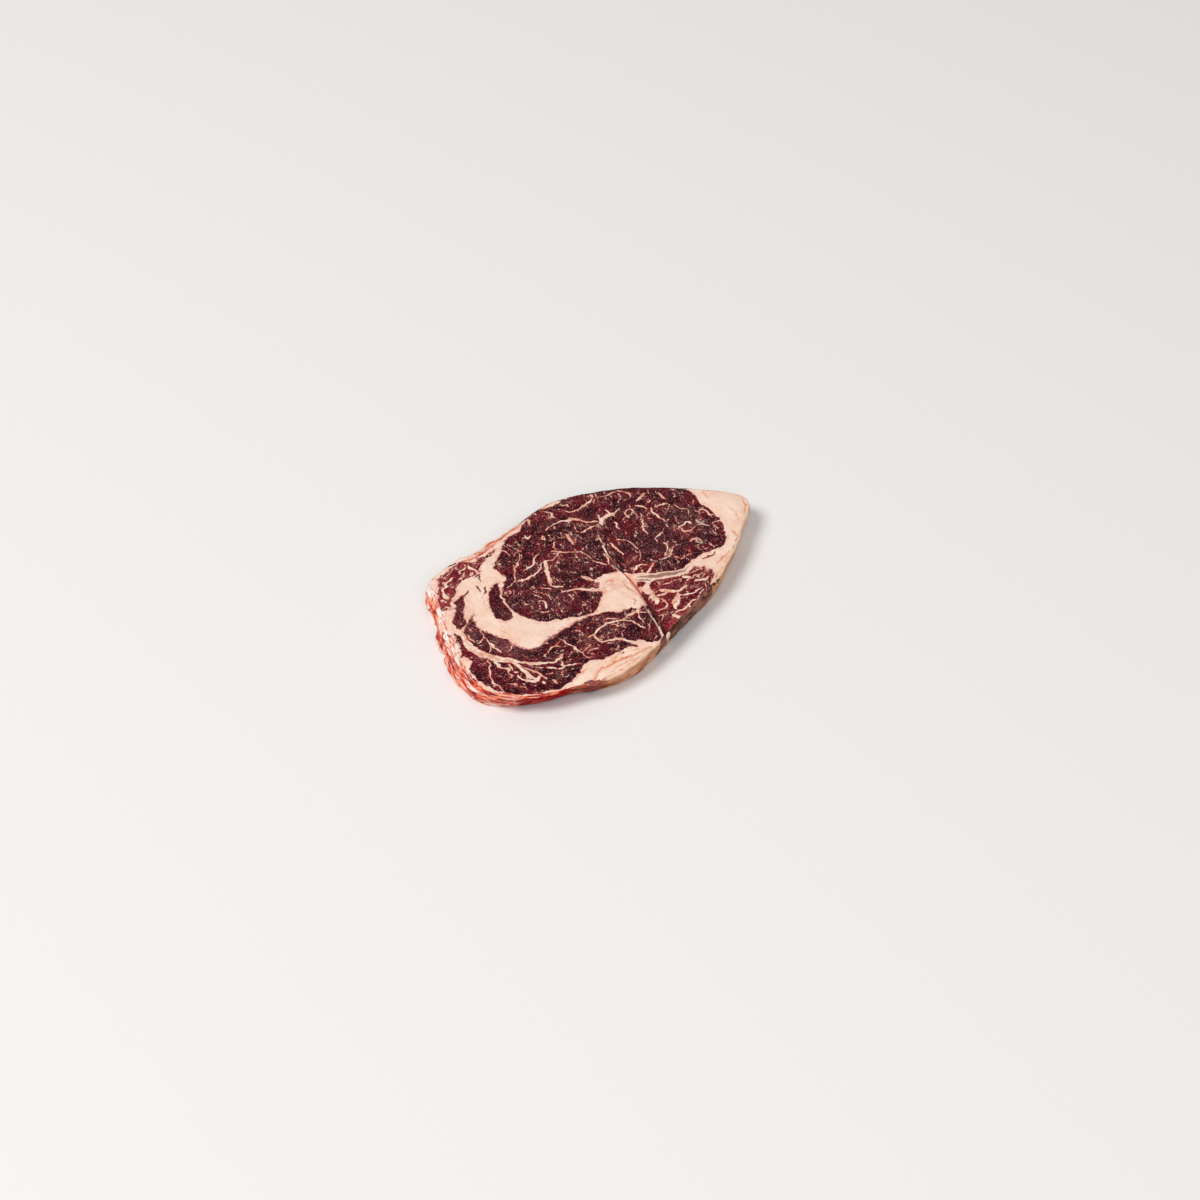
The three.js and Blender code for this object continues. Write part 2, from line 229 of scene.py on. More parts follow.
# The thin ones, as a half width and then x, y, x, y ... They narrow towards their ends. A few short
# ones are painted highlights, marked where they stand.
THIN_SEAMS = [
    (0.6, -71.8, 17.5, -73.4, 13.5, -74.2, 10.5),
    (0.45, -74.4, 8.6, -71, 8.2, -68.5, 9.7, -67, 11.5, -65.4, 15),
    (0.45, -68.2, 9.5, -69.4, 5, -71.5, 1.5, -74.4, -0.4), (0.5, -69.8, 3, -70.5, 0, -71, -4),
    (0.45, -68.8, -7, -65, -5.8, -61.5, -4.2),
    (0.5, -79, -2.5, -82, -7.3, -85, -10, -88, -13.5, -88.7, -17, -89, -22),
    (0.5, -74.7, -12.5, -75.4, -15, -76.2, -17.2), (0.7, -76.5, -18.2, -75.8, -19.3),
    (0.6, -71, -20.5, -70.4, -25, -69.3, -29.5, -69.5, -33.5), (0.4, -69.5, -25, -67, -24),
    # The strokes from (-66.7, -25.4) to (-59.6, -33.6), the one at (-72.6, -32.4) and the one at (-68,
    # -35.3) are painted highlights: wet glints drawn as seams of fat.
    (0.6, -66.7, -25.4, -65.3, -27.2), (0.7, -63.6, -28, -62.3, -30, -61, -32),
    (0.7, -61, -33.2, -59.6, -33.6), (0.6, -72.6, -32.4, -71.8, -34.4),
    (0.5, -68, -35.3, -67.5, -38), (0.3, -77.4, -22.5, -75, -21.5),
    (0.3, -76.5, -26, -73.5, -25.2), (0.43, -45, -17, -45.2, -28, -45.5, -39),
    (0.62, -35, -29, -30, -29.6, -24, -29, -19, -30.5, -15, -33.5, -12, -38, -11.5, -45),
    (0.39, -20, -26.5, -17, -29, -14, -31.5), (0.55, -15, -33.5, -8, -34, -4, -34.5, 1, -33.5),
    (0.47, -4, -34.5, -7, -38, -9, -43), (0.39, -4, -34.5, -3, -38, -1, -40),
    (0.47, -56.5, -22, -52, -20.6, -49.5, -21.5, -49, -24),
    (0.39, -56, -28.5, -57, -33, -54, -36, -50, -38.5), (0.39, -60, -33.5, -56.5, -34),
    (0.31, -44, -34, -38, -34.4), (0.35, -44, -36.2, -39.5, -36.6, -37.5, -38),
    (0.27, -42, -31.5, -36, -32.5), (0.31, -52, -31, -48, -30.5, -45, -31),
    (0.35, -36, -20, -35, -23, -34.5, -27), (0.31, -22, -28, -19.5, -33, -17.5, -38),
    # The stroke from (26.4, 17.6) down to (15, -4) is a painted highlight: the glint along the
    # crease's upper lip, drawn as a seam of fat.
    (0.55, 26.4, 17.6, 24, 13.6, 21.6, 9.6, 19.4, 6, 17.2, 1.4, 15, -4),
    (0.68, 42.5, 23.6, 43.7, 27.5), (0.51, 22, 25, 27, 24.6, 32, 23),
    (0.34, 24.5, 33, 22, 28, 21.3, 26),
    (0.59, 29, 43, 30.2, 39.8, 37, 38.4, 43, 38, 46, 39.6, 49, 42),
    (0.59, 12.5, 22, 14, 26, 15.7, 30.5), (0.3, 14, 22.5, 17, 24.7, 20, 25.4),
    (0.55, 1, 27.5, 4, 23, 7, 19.5, 10, 15.5), (0.72, 23, -2, 24, 4, 25.6, 9),
    (0.51, 12, -1.5, 15, 1.5, 17.5, 6.5),
    (0.42, 30, 8.5, 32, 4, 32.5, -0.5, 31, -4.5, 28, -9, 26, -10.5),
    (0.51, 37, 11.5, 38, 15, 39.6, 18),
    (0.42, 44, 15.3, 47, 17, 50, 19, 52.2, 18, 51.3, 14, 50, 11.5),
    (0.55, 43.5, -1, 45, 3.5, 47.5, 6, 51, 9), (0.59, 57, -1.5, 57.5, 4, 58, 9, 60.5, 11.5),
    (0.64, 59.5, 20, 63.5, 20.6, 67, 21), (0.59, 60, 33, 61.5, 28, 60, 24),
    (0.42, 60, 33.5, 55, 34, 51, 36, 48, 37.5), (0.34, 62, 14.5, 65, 15.4),
    (0.42, 61.5, 9, 66, 9.2, 68.4, 6, 63, 3), (0.51, 70, 10, 71, 14, 72, 16.5),
    (0.51, 69, 4.5, 70, 0, 71.3, -4), (0.59, 58, -9.5, 61, -10.3, 64, -9.5, 64.7, -12.5),
    (0.59, 58, -9.5, 57, -13.8, 60, -15.5, 63.5, -15.3), (0.3, 59.5, -8.5, 61, -5, 63.5, -3),
    (0.59, 65, -15, 67.5, -18, 69, -20), (0.38, 42, -7, 46, -6, 51.5, -5),
    (0.38, 38.5, -18, 42, -15, 45.5, -11.5), (0.34, 38, -21, 42, -18.3, 46, -16),
    (0.34, 38.3, -21.5, 40, -25), (0.51, 39.2, -26.2, 43.5, -25.8),
    (0.42, 32.5, -19, 36, -20.5, 38.5, -19.5), (0.42, 16, -14, 20, -13.6, 24, -14, 25.5, -16.5),
    (0.59, 20.5, -20, 24, -19, 28, -18.2),
    (0.42, 73, -10.5, 76, -8.4, 77.5, -11, 76, -15, 79, -16.5), (0.42, 72, -20.5, 77, -22.3),
    (0.68, 53, -20.5, 56, -21.5, 57, -24),
    (0.51, -6.5, 24.5, -10, 24, -14, 21.7, -20, 21.6, -25, 23.6, -29, 25.5, -34, 25.6),
    (0.77, -18.3, 10, -17, 6.5, -15.4, 4.6), (0.38, -13.5, 13, -13.6, 7.5),
    (0.42, 5, 22.5, 1, 22.8, -3, 22, -6.5, 24.5), (0.68, -29.5, 4, -31.5, 1.6, -33.2, 0),
    (0.34, -29, 13, -29, 7), (0.38, -37, 3, -35.5, -1, -31.5, -3.6),
    (0.42, -28.5, 25.2, -23, 30, -17, 34, -12, 36.6), (0.42, -16, 40, -13.8, 43.5, -15, 46.5),
    (0.51, -20, 28, -13, 27, -9, 30, -4, 30), (0.59, 1.5, 46, 0.5, 43, 3, 42.5),
    (0.42, 22, 52, 23.5, 48, 22, 44, 21, 41), (0.42, 32, 50, 32.4, 46.5, 34, 45),
    (0.34, -24, 13, -21, 9.5, -20, 6), (0.42, 10, 19, 10.8, 12, 10, 5, 12, -1.5),
    (0.42, 8, 30, 5, 28.5, 3.5, 26.5), (0.6, 19.2, -42.8, 22, -45.3, 26, -46.6, 31, -47.4),
    (0.5, 3.6, -49.8, 8, -49.6, 12, -50.6, 18, -50.3, 24, -50.3, 31, -48.8),
    (0.5, 14.6, -53, 16.6, -50.8), (0.6, 10.6, -34.6, 14, -35.8, 17, -38),
    (0.5, 9.6, -36, 9.9, -40, 9.4, -42.6, 6, -43.3, 2.8, -42.6), (0.3, 10.4, -42, 12, -36),
    (0.35, 2.8, -42.6, 2.4, -39), (0.5, 19, -31.4, 22, -32.8, 24.4, -33.6),
    (0.45, 29, -38.2, 33, -38.8, 37.6, -40), (0.4, 34, -36.4, 38, -37.4, 42, -38),
    (0.7, 32, -42, 35, -44, 39, -44.4), (0.35, 36, -42.4, 40, -41.6),
    (0.4, -9.6, -35, -6, -33.6, -2, -35.6),
    (0.8, -58.4, 46, -57, 46.8, -56, 48.6, -53.5, 48.9, -52, 50.6, -49.5, 51.2, -46.2, 51.7),
    (0.7, -61.6, 44, -61.8, 40.6), (0.5, -51.7, 53, -52, 50.6),
    (0.4, -49, 54, -45, 54.9, -40.5, 55.8), (0.5, -41.4, 50.6, -40, 52, -36, 52.2, -34.8, 54),
    # The stroke at (-45, 48.2) is a painted highlight drawn as a seam of fat.
    (0.7, -34.8, 51, -34.4, 47.5, -34.8, 44.5), (0.6, -45, 48.2, -43, 47.4),
    (0.5, -28.8, 51, -27.6, 52.4), (0.35, -66, 43.8, -66.2, 41),
]

# Soft spots, each as its middle, its reach along X and Y and its strength. This is the brown-grey
# bloom where the cut face has dried, and partly painted sheen of the wet face, most of all in the
# eye's middle.
BLOOM_AND_SHEEN = [
    (-28, 4, 12, 13, 0.6), (-69, 15, 4, 5, 1.8), (-66.5, -2, 5, 7, 1.8), (-66, -11, 5, 6, 0.5),
    (8, 12, 9, 9, 0.5), (24, 28, 12, 8, 0.45), (60, -8, 12, 18, 0.5), (38, -6, 12, 14, 0.4),
    (-62, -36, 8, 3, 0.3), (-20, -34, 14, 5, 0.35), (-48, 14, 4, 6, 0.5), (66, -17, 4, 4, 0.6),
    (-62, 32, 7, 7, 0.6), (17, 43, 5, 3, 0.7), (4, -11, 7, 4, 0.8), (-60, 33, 9, 5, 0.3),
    (7, -19, 4, 8, 0.8), (-1, -13, 7, 3, 0.7),
]
# Fresh red spots.
FRESH = [
    (-79, 13, 3, 6, 0.9), (-82, 5, 3, 7, 0.5), (78, 18, 6, 10, 0.5), (52, 40, 16, 5, 0.5),
    (2, 48, 24, 5, 0.1), (20, 52, 8, 3, 0.7), (-16, -50, 9, 5, 0.5), (8, -53, 14, 3, 1.8),
    (66, 28, 8, 8, 0.4), (22, -31, 12, 4, 0.8), (21, -16, 4, 2.5, 0.6), (23, -7, 2, 6, 0.6),
    (-57, 36.5, 3, 3, 0.5), (-57, 49, 5, 3, 0.6), (-86, -13, 3, 9, 0.4), (-80, -31, 6, 3, 0.5),
    (-4, 12, 9, 6, 0.2), (30, 12, 6, 14, 0.3), (-28, 5, 9, 10, -0.3), (-8, 42, 8, 7, -0.3),
]
# Spots with more of the fine marbling, or less.
STREAKY = [
    (-72, -24, 4, 6, 0.5), (-22, -34, 20, 9, 0.6), (-78, 14, 5, 8, 0.5), (70, -8, 8, 16, 0.3),
    (62, 26, 8, 7, 0.35), (-40, -34, 5, 4, 0.6), (-6, 16, 8, 10, 0.35), (38, -41, 6, 4, 0.9),
    (-86, -12, 6, 12, -0.5), (-48, -40, 8, 5, -0.4),
]
STREAKY_WEIGHT = 0.6
# Orange and tan lines in the fat, given as thin seams are.
FAT_LINES = [
    (0.35, -39.9, -47.8, -33.3, -48.4, -28, -50.7, -23.5, -52.8),
    (0.35, -58.7, -43, -55, -42.6, -51, -42.7), (0.3, -46, -52.6, -38, -53.4, -30, -55),
    (0.6, 50, -41.4, 56, -40.8, 62, -39.6), (0.6, 74.4, -31, 73, -35.6),
    (0.35, 87.6, -19.5, 85.2, -25.5, 81.6, -30), (0.5, 98.4, -19, 93.5, -24.5, 89, -27.8),
    (0.3, 98.8, -21.6, 94.5, -26.4), (0.3, 88, 0, 86.4, -6.5),
    (0.45, 71, -39, 75.5, -36.9, 80, -34.4), (0.6, 6.6, -18, 5.8, -24, 4.6, -30),
    (0.25, -47, 30, -50, 26, -50.4, 24.8), (0.35, -59.4, 6.5, -58.8, 1.4),
    (1.1, -64, 51.4, -67, 46.8, -70.4, 42, -73.4, 36.4, -76.6, 31, -80, 25.6, -83.6, 20.6),
    (0.7, 2, -8.6, 5.2, -10.6), (0.4, -2.8, -12.4, -0.4, -9.6), (0.5, 1.6, -27.4, -0.8, -30.6),
]
# Folds between the lobes of fat at the rim, and the middle of the lobe that bulges beside it. The
# folds also take the fat lines' orange, partly painted shade between the lobes.
FOLDS = [
    (0.8, -54, -50.6, -51.2, -48.6, -47.1, -48, -42.3, -48.9, -34.8, -50.6, -30.1, -52.9, -24.2,
     -54.3, -17.7, -55.6),
]
LOBE = [(-49.5, -52), (-44, -52.2), (-37, -53.6), (-29, -55.2), (-21, -56)]
# Thin dark red lines and specks in the fat, where a little lean or blood shows.
DARK_LINES = [
    (1.7, -58.4, -48.8, -56, -49.6, -53.6, -51.6, -55.6, -53.6),
    (0.44, -54.4, 38.2, -51, 37.5, -48, 38.6), (0.44, -34.6, 43.4, -37, 41.4, -39, 38.4),
    (0.25, -35.4, 43.6, -38.8, 42.8), (0.31, -42.8, 38, -43.6, 35.6, -44.6, 33.8),
    (0.62, -40.6, 34.4, -42.6, 32, -44.4, 31.2), (0.44, -71, 19.6, -73, 17, -74.4, 13, -75, 9.8),
    (0.38, -75.6, 7.4, -75.9, 4, -75.5, 1), (0.5, -90.5, 7.1, -87, 7.7, -84.4, 8.8),
    (0.44, -31.6, -48.8, -30.4, -48.9), (0.38, -33.6, -51, -32.6, -51.4),
    (0.44, 12.6, -18.4, 15, -21, 17.6, -24.2), (0.5, 19.4, -27, 24, -30.2, 29, -33.9, 31.2, -34.4),
    (0.5, 47.6, -34, 51, -35.3, 55.4, -36), (1.2, -3, -6.8, -1, -6.2),
    (0.62, -6, -7.4, -3.6, -8.4), (0.62, -28.5, 55.2, -28, 56.4), (0.75, -24.6, 54.4, -23.2, 53.8),
    (0.62, -21.4, 52.8, -20.6, 52.4), (1.2, -92.6, -27, -91.6, -30.4),
    (0.5, -88.2, -31.2, -88.8, -33),
]
# Grey-brown film along the vein under the eye and on two dry spots, as x, y, half width.
BROWN_VEIN = [
    [(15, -18.4, 0.8), (18.6, -21.6, 1.4), (22, -24.8, 1.8), (26.6, -28.2, 1.8), (31, -31, 1.3),
     (35, -32.6, 0.9), (41, -33, 0.4)],
    [(57, -21.6, 0.6), (56.6, -23.6, 1.2), (56, -25.4, 0.8)],
    [(67.4, -13.6, 0.5), (67.8, -17, 0.8)],
]
# Spots where lean fades into fat over a wider band.
SOFT = [
    (-63, 14, 4, 9, 0.6), (-60, -9, 4, 6, 1), (-46, -15, 12, 2.5, 1), (-30, -17, 8, 2, 0.6),
    (-62, 31, 6, 7, 0.4), (-37, 28, 3, 6, 0.3), (-8, -8, 5, 5, 0.3), (30, -33, 12, 4, 0.4),
    (-50, 55, 14, 4, 0.8), (-31, 34, 3, 5, 0.8), (41, -41, 4, 6, 0.8), (-50, 36, 5, 3, 0.6),
    (-20, 53, 14, 4, 0.6), (-80, 19, 3, 4, 0.5),
]
# Spots where torn tissue shows on the face, their strength in mm in from the rim, and the pocket
# between the lobes of fat, in mm deep.
TEARS = [
    (-82, 16, 7, 9, 2.6), (-93, -2, 5, 9, 1.6), (-68, 38, 7, 9, 1.6), (-60, 52, 8, 6, 2),
    (-90, -28, 6, 5, 2.4), (-80, -37, 8, 4, 2), (-22, 56, 13, 5, 6.5), (1, 56, 8, 3, 3),
]
POCKET = (-55.6, -50.8, 3.2, 2.6, 2.0)

# Scattered flecks of marbling: lengths in mm, turns in radians.
FLECKS_EACH_CM2 = 2.0
FLECK_LENGTH = (1.8, 6.0)
FLECK_HALF_WIDTH = (0.12, 0.32)
FLECK_BRANCHES = 0.7
BRANCH_TURN, BRANCH_LENGTH, BRANCH_WIDTH = (0.7, 1.3), 0.45, 0.7
FLECK_TURN = 0.65
FLECK_BEND = 0.25
FLECK_MARGIN = 0.6

# How far the traced lines wander: wave length and size, in mm.
WANDER = [(9, 0.3), (4, 0.26), (2.2, 0.13), (1.3, 0.05)]
UNDER_WANDER = (60, 1.4)
# The furthest out of and into the lean or the rim that the marks tell apart (mm).
FAR_OUT, FAR_IN = 20, 12
# The wall shows what the face shows a little in from the rim. Where the lean shows at the front of
# the wall, it gives way to fat further down.
SIDE_INSET = 1.3
LEAN_DROP, LEAN_DROP_FROM, LEAN_DROP_TO = 3.0, 0.5, 0.72

# ---- the mesh (mm) ----

EDGE_STEP = 0.66
OUTLINE_STEP = 1.0
LINE_STEP = 1.5
SEAM_STEP = 0.8
SEAM_END_SHARE = 0.62
FACE_STEP = 0.56
GROOVE_STEP = 0.4
UNDER_STEP = 1.75
LATTICE_RISE = 0.866
LATTICE_MARGIN = 0.7
WALL_RINGS = 24
SPAN_POINTS = 24

# The picture that the materials are baked to, as shares of its width: how wide the two faces lie
# in it, and the strips of the side.
UPPER_WIDTH, LOWER_WIDTH, PICTURE_EDGE = 0.97, 0.585, 0.015
STRIPS = 4
STRIP_LEFT, STRIP_WIDTH = 0.615, 0.37
STRIP_FOOT, STRIP_RISE, STRIP_HEIGHT = 0.02, 0.085, 0.07
STRIP_OVERLAP = 2.5

# ---- looks ----

# The torn side's colours over the crimson: from and to which level, and the screen colour.
TORN_TONES = [
    (0.41, 0.445, 208, 74, 56), (0.44, 0.475, 238, 112, 78), (0.47, 0.515, 250, 164, 132),
    (0.52, 0.56, 252, 214, 194), (0.585, 0.62, 255, 243, 236),
]
# Camera and light: metres, degrees, watts.
CAMERA_PLACE = (-0.82156, -0.72099, 0.97838)
CAMERA_TILT, CAMERA_TURN = 48, -49
CAMERA_SENSOR, CAMERA_LENS = 36, 87.53
LIGHTS = {"key": ((-2.25, 1.05, 3.3), 2.1, 106), "fill": ((-2.1, -3.0, 3.6), 3.6, 77)}
WORLD_STRENGTH = 0.33
FLOOR_REACH = 4.0


def smoothstep(value, low, high):
    share = np.clip((value - low) / (high - low), 0, 1)
    return share * share * (3 - 2 * share)


def smooth_line(points, step, closed=False):
    """A centripetal Catmull-Rom line through the points, with a point about every step mm."""
    points = np.array(points, float)
    if closed:
        around = np.concatenate([points[-1:], points, points[:2]])
    else:
        first = 2 * points[0] - points[1]
        last = 2 * points[-1] - points[-2]
        around = np.concatenate([[first], points, [last]])
    share = np.linspace(0, 1, SPAN_POINTS, endpoint=False)[:, None]
    parts = []
    for p0, p1, p2, p3 in zip(around, around[1:], around[2:], around[3:]):
        d0, d1, d2 = (np.linalg.norm(b - a) ** 0.5 for a, b in ((p0, p1), (p1, p2), (p2, p3)))
        start = ((p1 - p0) / d0 - (p2 - p0) / (d0 + d1) + (p2 - p1) / d1) * d1
        end = ((p2 - p1) / d1 - (p3 - p1) / (d1 + d2) + (p3 - p2) / d2) * d1
        cubic = 2 * p1 - 2 * p2 + start + end
        square = -3 * p1 + 3 * p2 - 2 * start - end
        parts.append(((cubic * share + square) * share + start) * share + p1)
    line = np.concatenate([*parts, points[:1] if closed else points[-1:]])
    walked = np.concatenate([[0], np.cumsum(np.linalg.norm(np.diff(line, axis=0), axis=1))])
    count = max(2, round(walked[-1] / step) + 1)
    stops = np.linspace(0, walked[-1], count)
    even = np.stack([np.interp(stops, walked, column) for column in line.T], 1)
    return even[:-1] if closed else even


def nearest_on_line(places, line, closed=False):
    """Distance of each place to a line, and the line's value there where it has a third column."""
    ends = np.roll(line, -1, 0) if closed else line[1:]
    starts = line if closed else line[:-1]
    best = np.full(len(places), np.inf)
    value = np.zeros(len(places))
    for a, b in zip(starts, ends):
        run = b[:2] - a[:2]
        along = np.clip(((places - a[:2]) @ run) / max(run @ run, 1e-12), 0, 1)
        gap = np.hypot(*(places - a[:2] - along[:, None] * run).T)
        closer = gap < best
        best[closer] = gap[closer]
        if len(a) > 2:
            value[closer] = (a[2] + along * (b[2] - a[2]))[closer]
    return best, value


def inside(places, line):
    """True for each place within a closed line."""
    odd = np.zeros(len(places), bool)
    x, y = places.T
    for a, b in zip(line, np.roll(line, -1, 0)):
        if a[1] == b[1]:
            continue
        crosses = (a[1] > y) != (b[1] > y)
        odd ^= crosses & (x < a[0] + (y - a[1]) * (b[0] - a[0]) / (b[1] - a[1]))
    return odd


def depth_inside(places, line):
    """Distance of each place to a closed line, positive within it."""
    gap, _ = nearest_on_line(places, line[:, :2], closed=True)
    return np.where(inside(places, line), gap, -gap)


def near(places, line, reach):
    """The numbers of the places that lie within reach of a line's box."""
    low = line[:, :2].min(0) - reach
    high = line[:, :2].max(0) + reach
    return np.flatnonzero(((places > low) & (places < high)).all(1))


def patches(places, spots):
    """The sum of soft round spots at each place."""
    total = np.zeros(len(places))
    for x, y, across, along, strength in spots:
        total += strength * np.exp(-(((places - (x, y)) / (across, along)) ** 2).sum(1))
    return total


# ---- the form ----

def wavy(places, size, amount, rng):
    """Smooth uneven height: a few plane waves of about the given length, in any direction."""
    total = np.zeros(len(places))
    for _ in range(WAVES):
        angle = rng.uniform(0, math.tau)
        length = size * rng.uniform(*WAVE_SPREAD)
        way = np.array([math.cos(angle), math.sin(angle)]) * math.tau / length
        total += np.sin(places @ way + rng.uniform(0, math.tau))
    return total * amount / WAVES ** 0.5


def wandering(places, rng):
    """The places pushed about a little, so that nothing traced over them runs too smoothly."""
    push = [sum(wavy(places, size, amount, rng) for size, amount in WANDER) for _ in range(2)]
    return places + np.column_stack(push)


def face_height(places, lines):
    eye = smoothstep(depth_inside(places, lines["eye"]), 0, SWELL_WIDTH)
    cap = smoothstep(depth_inside(places, lines["cap"]), 0, SWELL_WIDTH)
    rim = smoothstep(depth_inside(places, lines["edge"]), 0, RIM_FALL_WIDTH)
    droop = DROOP_FALL * smoothstep(places @ DROOP_ALONG, DROOP_FROM, DROOP_TO)
    pads = patches(places, [(*pad, FAT_SWELL) for pad in PADS])
    return THICKNESS + eye * EYE_SWELL + cap * CAP_SWELL + pads - RIM_FALL * (1 - rim) - droop


def beside_crease(places, line):
    """Distance from the crease, negative on its left, and the crease's depth there."""
    gap, depth = nearest_on_line(places, line)
    ends = line[-1, :2] - line[0, :2]
    right = (places - line[0, :2]) @ np.array([-ends[1], ends[0]])
    return np.where(right > 0, gap, -gap), depth


def crease_relief(places, line):
    """Height of the crease's groove, its pale lip on the left and the lower bank on the right."""
    height = np.zeros(len(places))
    chosen = near(places, line, CREASE_REACH)
    gap, depth = beside_crease(places[chosen], line)
    groove = -depth * np.exp(-((gap / CREASE_HALF_WIDTH) ** 2))
    lip = CREASE_LIP * np.exp(-(((gap + CREASE_LIP_MIDDLE) / CREASE_LIP_WIDTH) ** 2))
    bank = -CREASE_BANK * (gap > 0) * np.exp(-gap / CREASE_BANK_WIDTH)
    height[chosen] = groove + (lip + bank) * np.clip(depth, 0, 1)
    return height


def line_relief(places, lines, depth, width, reach=4):
    """Dents along lines. Where two lines meet, the deeper one counts."""
    height = np.zeros(len(places))
    for line in lines:
        chosen = near(places, line, reach)
        gap, half = nearest_on_line(places[chosen], line)
        dip = -depth * np.exp(-((gap / (half + width)) ** 2))
        height[chosen] = np.minimum(height[chosen], dip)
    return height


def lobe_relief(places):
    """Height of the rounded lobe of fat beside the fold."""
    gap, _ = nearest_on_line(places, smooth_line(LOBE, LINE_STEP))
    return LOBE_HEIGHT * np.exp(-((gap / LOBE_HALF_WIDTH) ** 2))


def dark_share(places):
    """How far the lean on the front of the side gives way to fat further down."""
    x, y = places.T
    return smoothstep(y, 0, -12) * smoothstep(x, -11, -6) * (1 - smoothstep(x, 34, 44))


def side_tones(places):
    """How far the side is torn and red, crimson, pale, dark red at its foot with blood and painted
    shade, and tan at the front, where the tan is partly painted shade.
    """
    x, y = places.T
    front = smoothstep(y, 0, -12)
    red = front * (1 - smoothstep(x, -72, -56)) + (1 - front) * (1 - smoothstep(x, -66, -44))
    crimson = smoothstep(y, -24, -34) * (1 - smoothstep(x, -66, -54))
    crimson = crimson + 0.1 * smoothstep(y, 44, 50) * smoothstep(x, -36, -28)
    pale = smoothstep(y, -12, 6) * (1 - smoothstep(x, -40, -30))
    bloody_shaded_foot = front * (1 - smoothstep(x, -54, -44) * 0.5 - smoothstep(x, -34, -12) * 0.5)
    tan_and_shade = front * smoothstep(x, -64, -48) * (1 - smoothstep(x, 62, 84) * 0.6)
    return {"red": red, "crimson": crimson, "pale": pale, "bloody_shaded_foot": bloody_shaded_foot, "tan_and_shade": tan_and_shade}


def rim_corners(edge):
    """For each point of the upper edge: its place, the way out, how far the foot stands outside,
    how torn it is and how far round it is."""
    ahead = np.roll(edge, -1, 0)[:, :2] - np.roll(edge, 1, 0)[:, :2]
    out = np.stack([ahead[:, 1], -ahead[:, 0]], 1)
    out /= np.linalg.norm(out, axis=1)[:, None]
    turn = np.arange(len(edge)) / len(edge) * math.tau
    torn = np.where(edge[:, 0] < 0, np.clip(edge[:, 2] / RIDGE_FULL_FLARE, 0, 1), 0)
    wave = sum(size * np.sin(waves * turn) for size, waves in NICKS) * (1 + TORN_NICKS * torn)
    fine = sum(size * np.sin(waves * turn) for size, waves in FINE_NICKS) * (1 + torn)
    place = edge[:, :2] + out * (wave + fine)[:, None]
    return place, out, edge[:, 2], torn, turn


def strand_waves(rng):
    """Ridges that run along the side: their size, waves from top to foot and waves round."""
    most = STRAND_WAVES_ROUND
    return [(rng.uniform(*STRAND_SIZE), rng.uniform(*STRAND_WAVES_DOWN),
             int(rng.integers(-most, most + 1)), rng.uniform(0, math.tau))
            for _ in range(STRANDS)]


def wall_place(rim, share, top, strands):
    """One ring of the wall, from 0 at the upper edge to 1 at the foot."""
    place, out, flare, torn, turn = rim
    angle = share * math.pi
    down = (1 - math.cos(angle)) / 2
    lobe = smoothstep(place[:, 0], FOLD_FROM, FOLD_FROM + FOLD_FADE)
    lobe = lobe * (1 - smoothstep(place[:, 0], FOLD_TO - FOLD_FADE, FOLD_TO)) * (place[:, 1] < 0)
    fold = FOLD_DEPTH * lobe * math.exp(-(((1 - down - FOLD_HEIGHT) / FOLD_SPREAD) ** 2))
    ridge = RIDGE_DEPTH * torn * np.sin(2 * RIDGE_DOWN * angle + RIDGE_ROUND * turn)
    rough = SMOOTH_STRANDS + side_tones(place)["red"]
    for size, waves, round_waves, shift in strands:
        ridge = ridge + rough * size * np.sin(waves * angle * 2 + round_waves * turn + shift)
    outset = flare * down + WALL_BULGE * math.sin(angle) ** BULGE_POWER - fold
    plan = place + out * (outset + math.sin(angle) ** RIDGE_POWER * ridge)[:, None]
    return np.column_stack([plan, top * (1 - down)])


def lattice(edge, step):
    """Points of a triangular lattice inside the edge, clear of it."""
    low, high = edge[:, :2].min(0), edge[:, :2].max(0)
    rows = np.arange(low[1], high[1], step * LATTICE_RISE)
    columns = np.arange(low[0], high[0], step)
    grid = [np.column_stack([columns + step / 2 * (i % 2), np.full(len(columns), y)])
            for i, y in enumerate(rows)]
    grid = np.concatenate(grid)
    return grid[depth_inside(grid, edge) > step * LATTICE_MARGIN]


def triangles(border, filling):
    """Triangles over a closed border and the points in it, as numbers into the two joined."""
    points = [Vector(p) for p in np.concatenate([border, filling])]
    count = len(border)
    ring = [(i, (i + 1) % count) for i in range(count)]
    _, _, faces, origins, _, _ = delaunay_2d_cdt(points, ring, [], 1, 1e-7)
    first = np.array([numbers[0] for numbers in origins])
    return first[np.array([face for face in faces if len(face) == 3])]


# ---- what the cut shows at each place ----

def grain_of(places, angle):
    """Coordinates along and across the fibres of a muscle, in mm."""
    if angle is None:
        spread = places - GRAIN_MIDDLE
        turn = np.arctan2(-spread[:, 0], -spread[:, 1])
        return np.column_stack([turn * GRAIN_TURN, np.hypot(*spread.T)])
    along = np.array([math.cos(math.radians(angle)), math.sin(math.radians(angle))])
    across = np.array([-along[1], along[0]])
    return np.column_stack([places @ along, places @ across])


def fleck(start, turn, rng):
    """A short bent marbling line, often with a branch, as rows of half width, x, y, x, y ..."""
    length = rng.uniform(*FLECK_LENGTH)
    half = rng.uniform(*FLECK_HALF_WIDTH)
    turn += rng.normal(0, FLECK_TURN)
    bend = rng.normal(0, FLECK_BEND)
    points = [start]
    for _ in range(3):
        way = np.array([math.cos(turn), math.sin(turn)])
        points.append(points[-1] + length / 3 * way)
        turn += bend
    rows = [(half, *np.concatenate(points))]
    if rng.random() < FLECK_BRANCHES:
        turn += rng.choice([-1, 1]) * rng.uniform(*BRANCH_TURN)
        knee = points[rng.integers(1, 3)]
        tip = knee + length * BRANCH_LENGTH * np.array([math.cos(turn), math.sin(turn)])
        rows.append((half * BRANCH_WIDTH, *knee, *tip))
    return rows


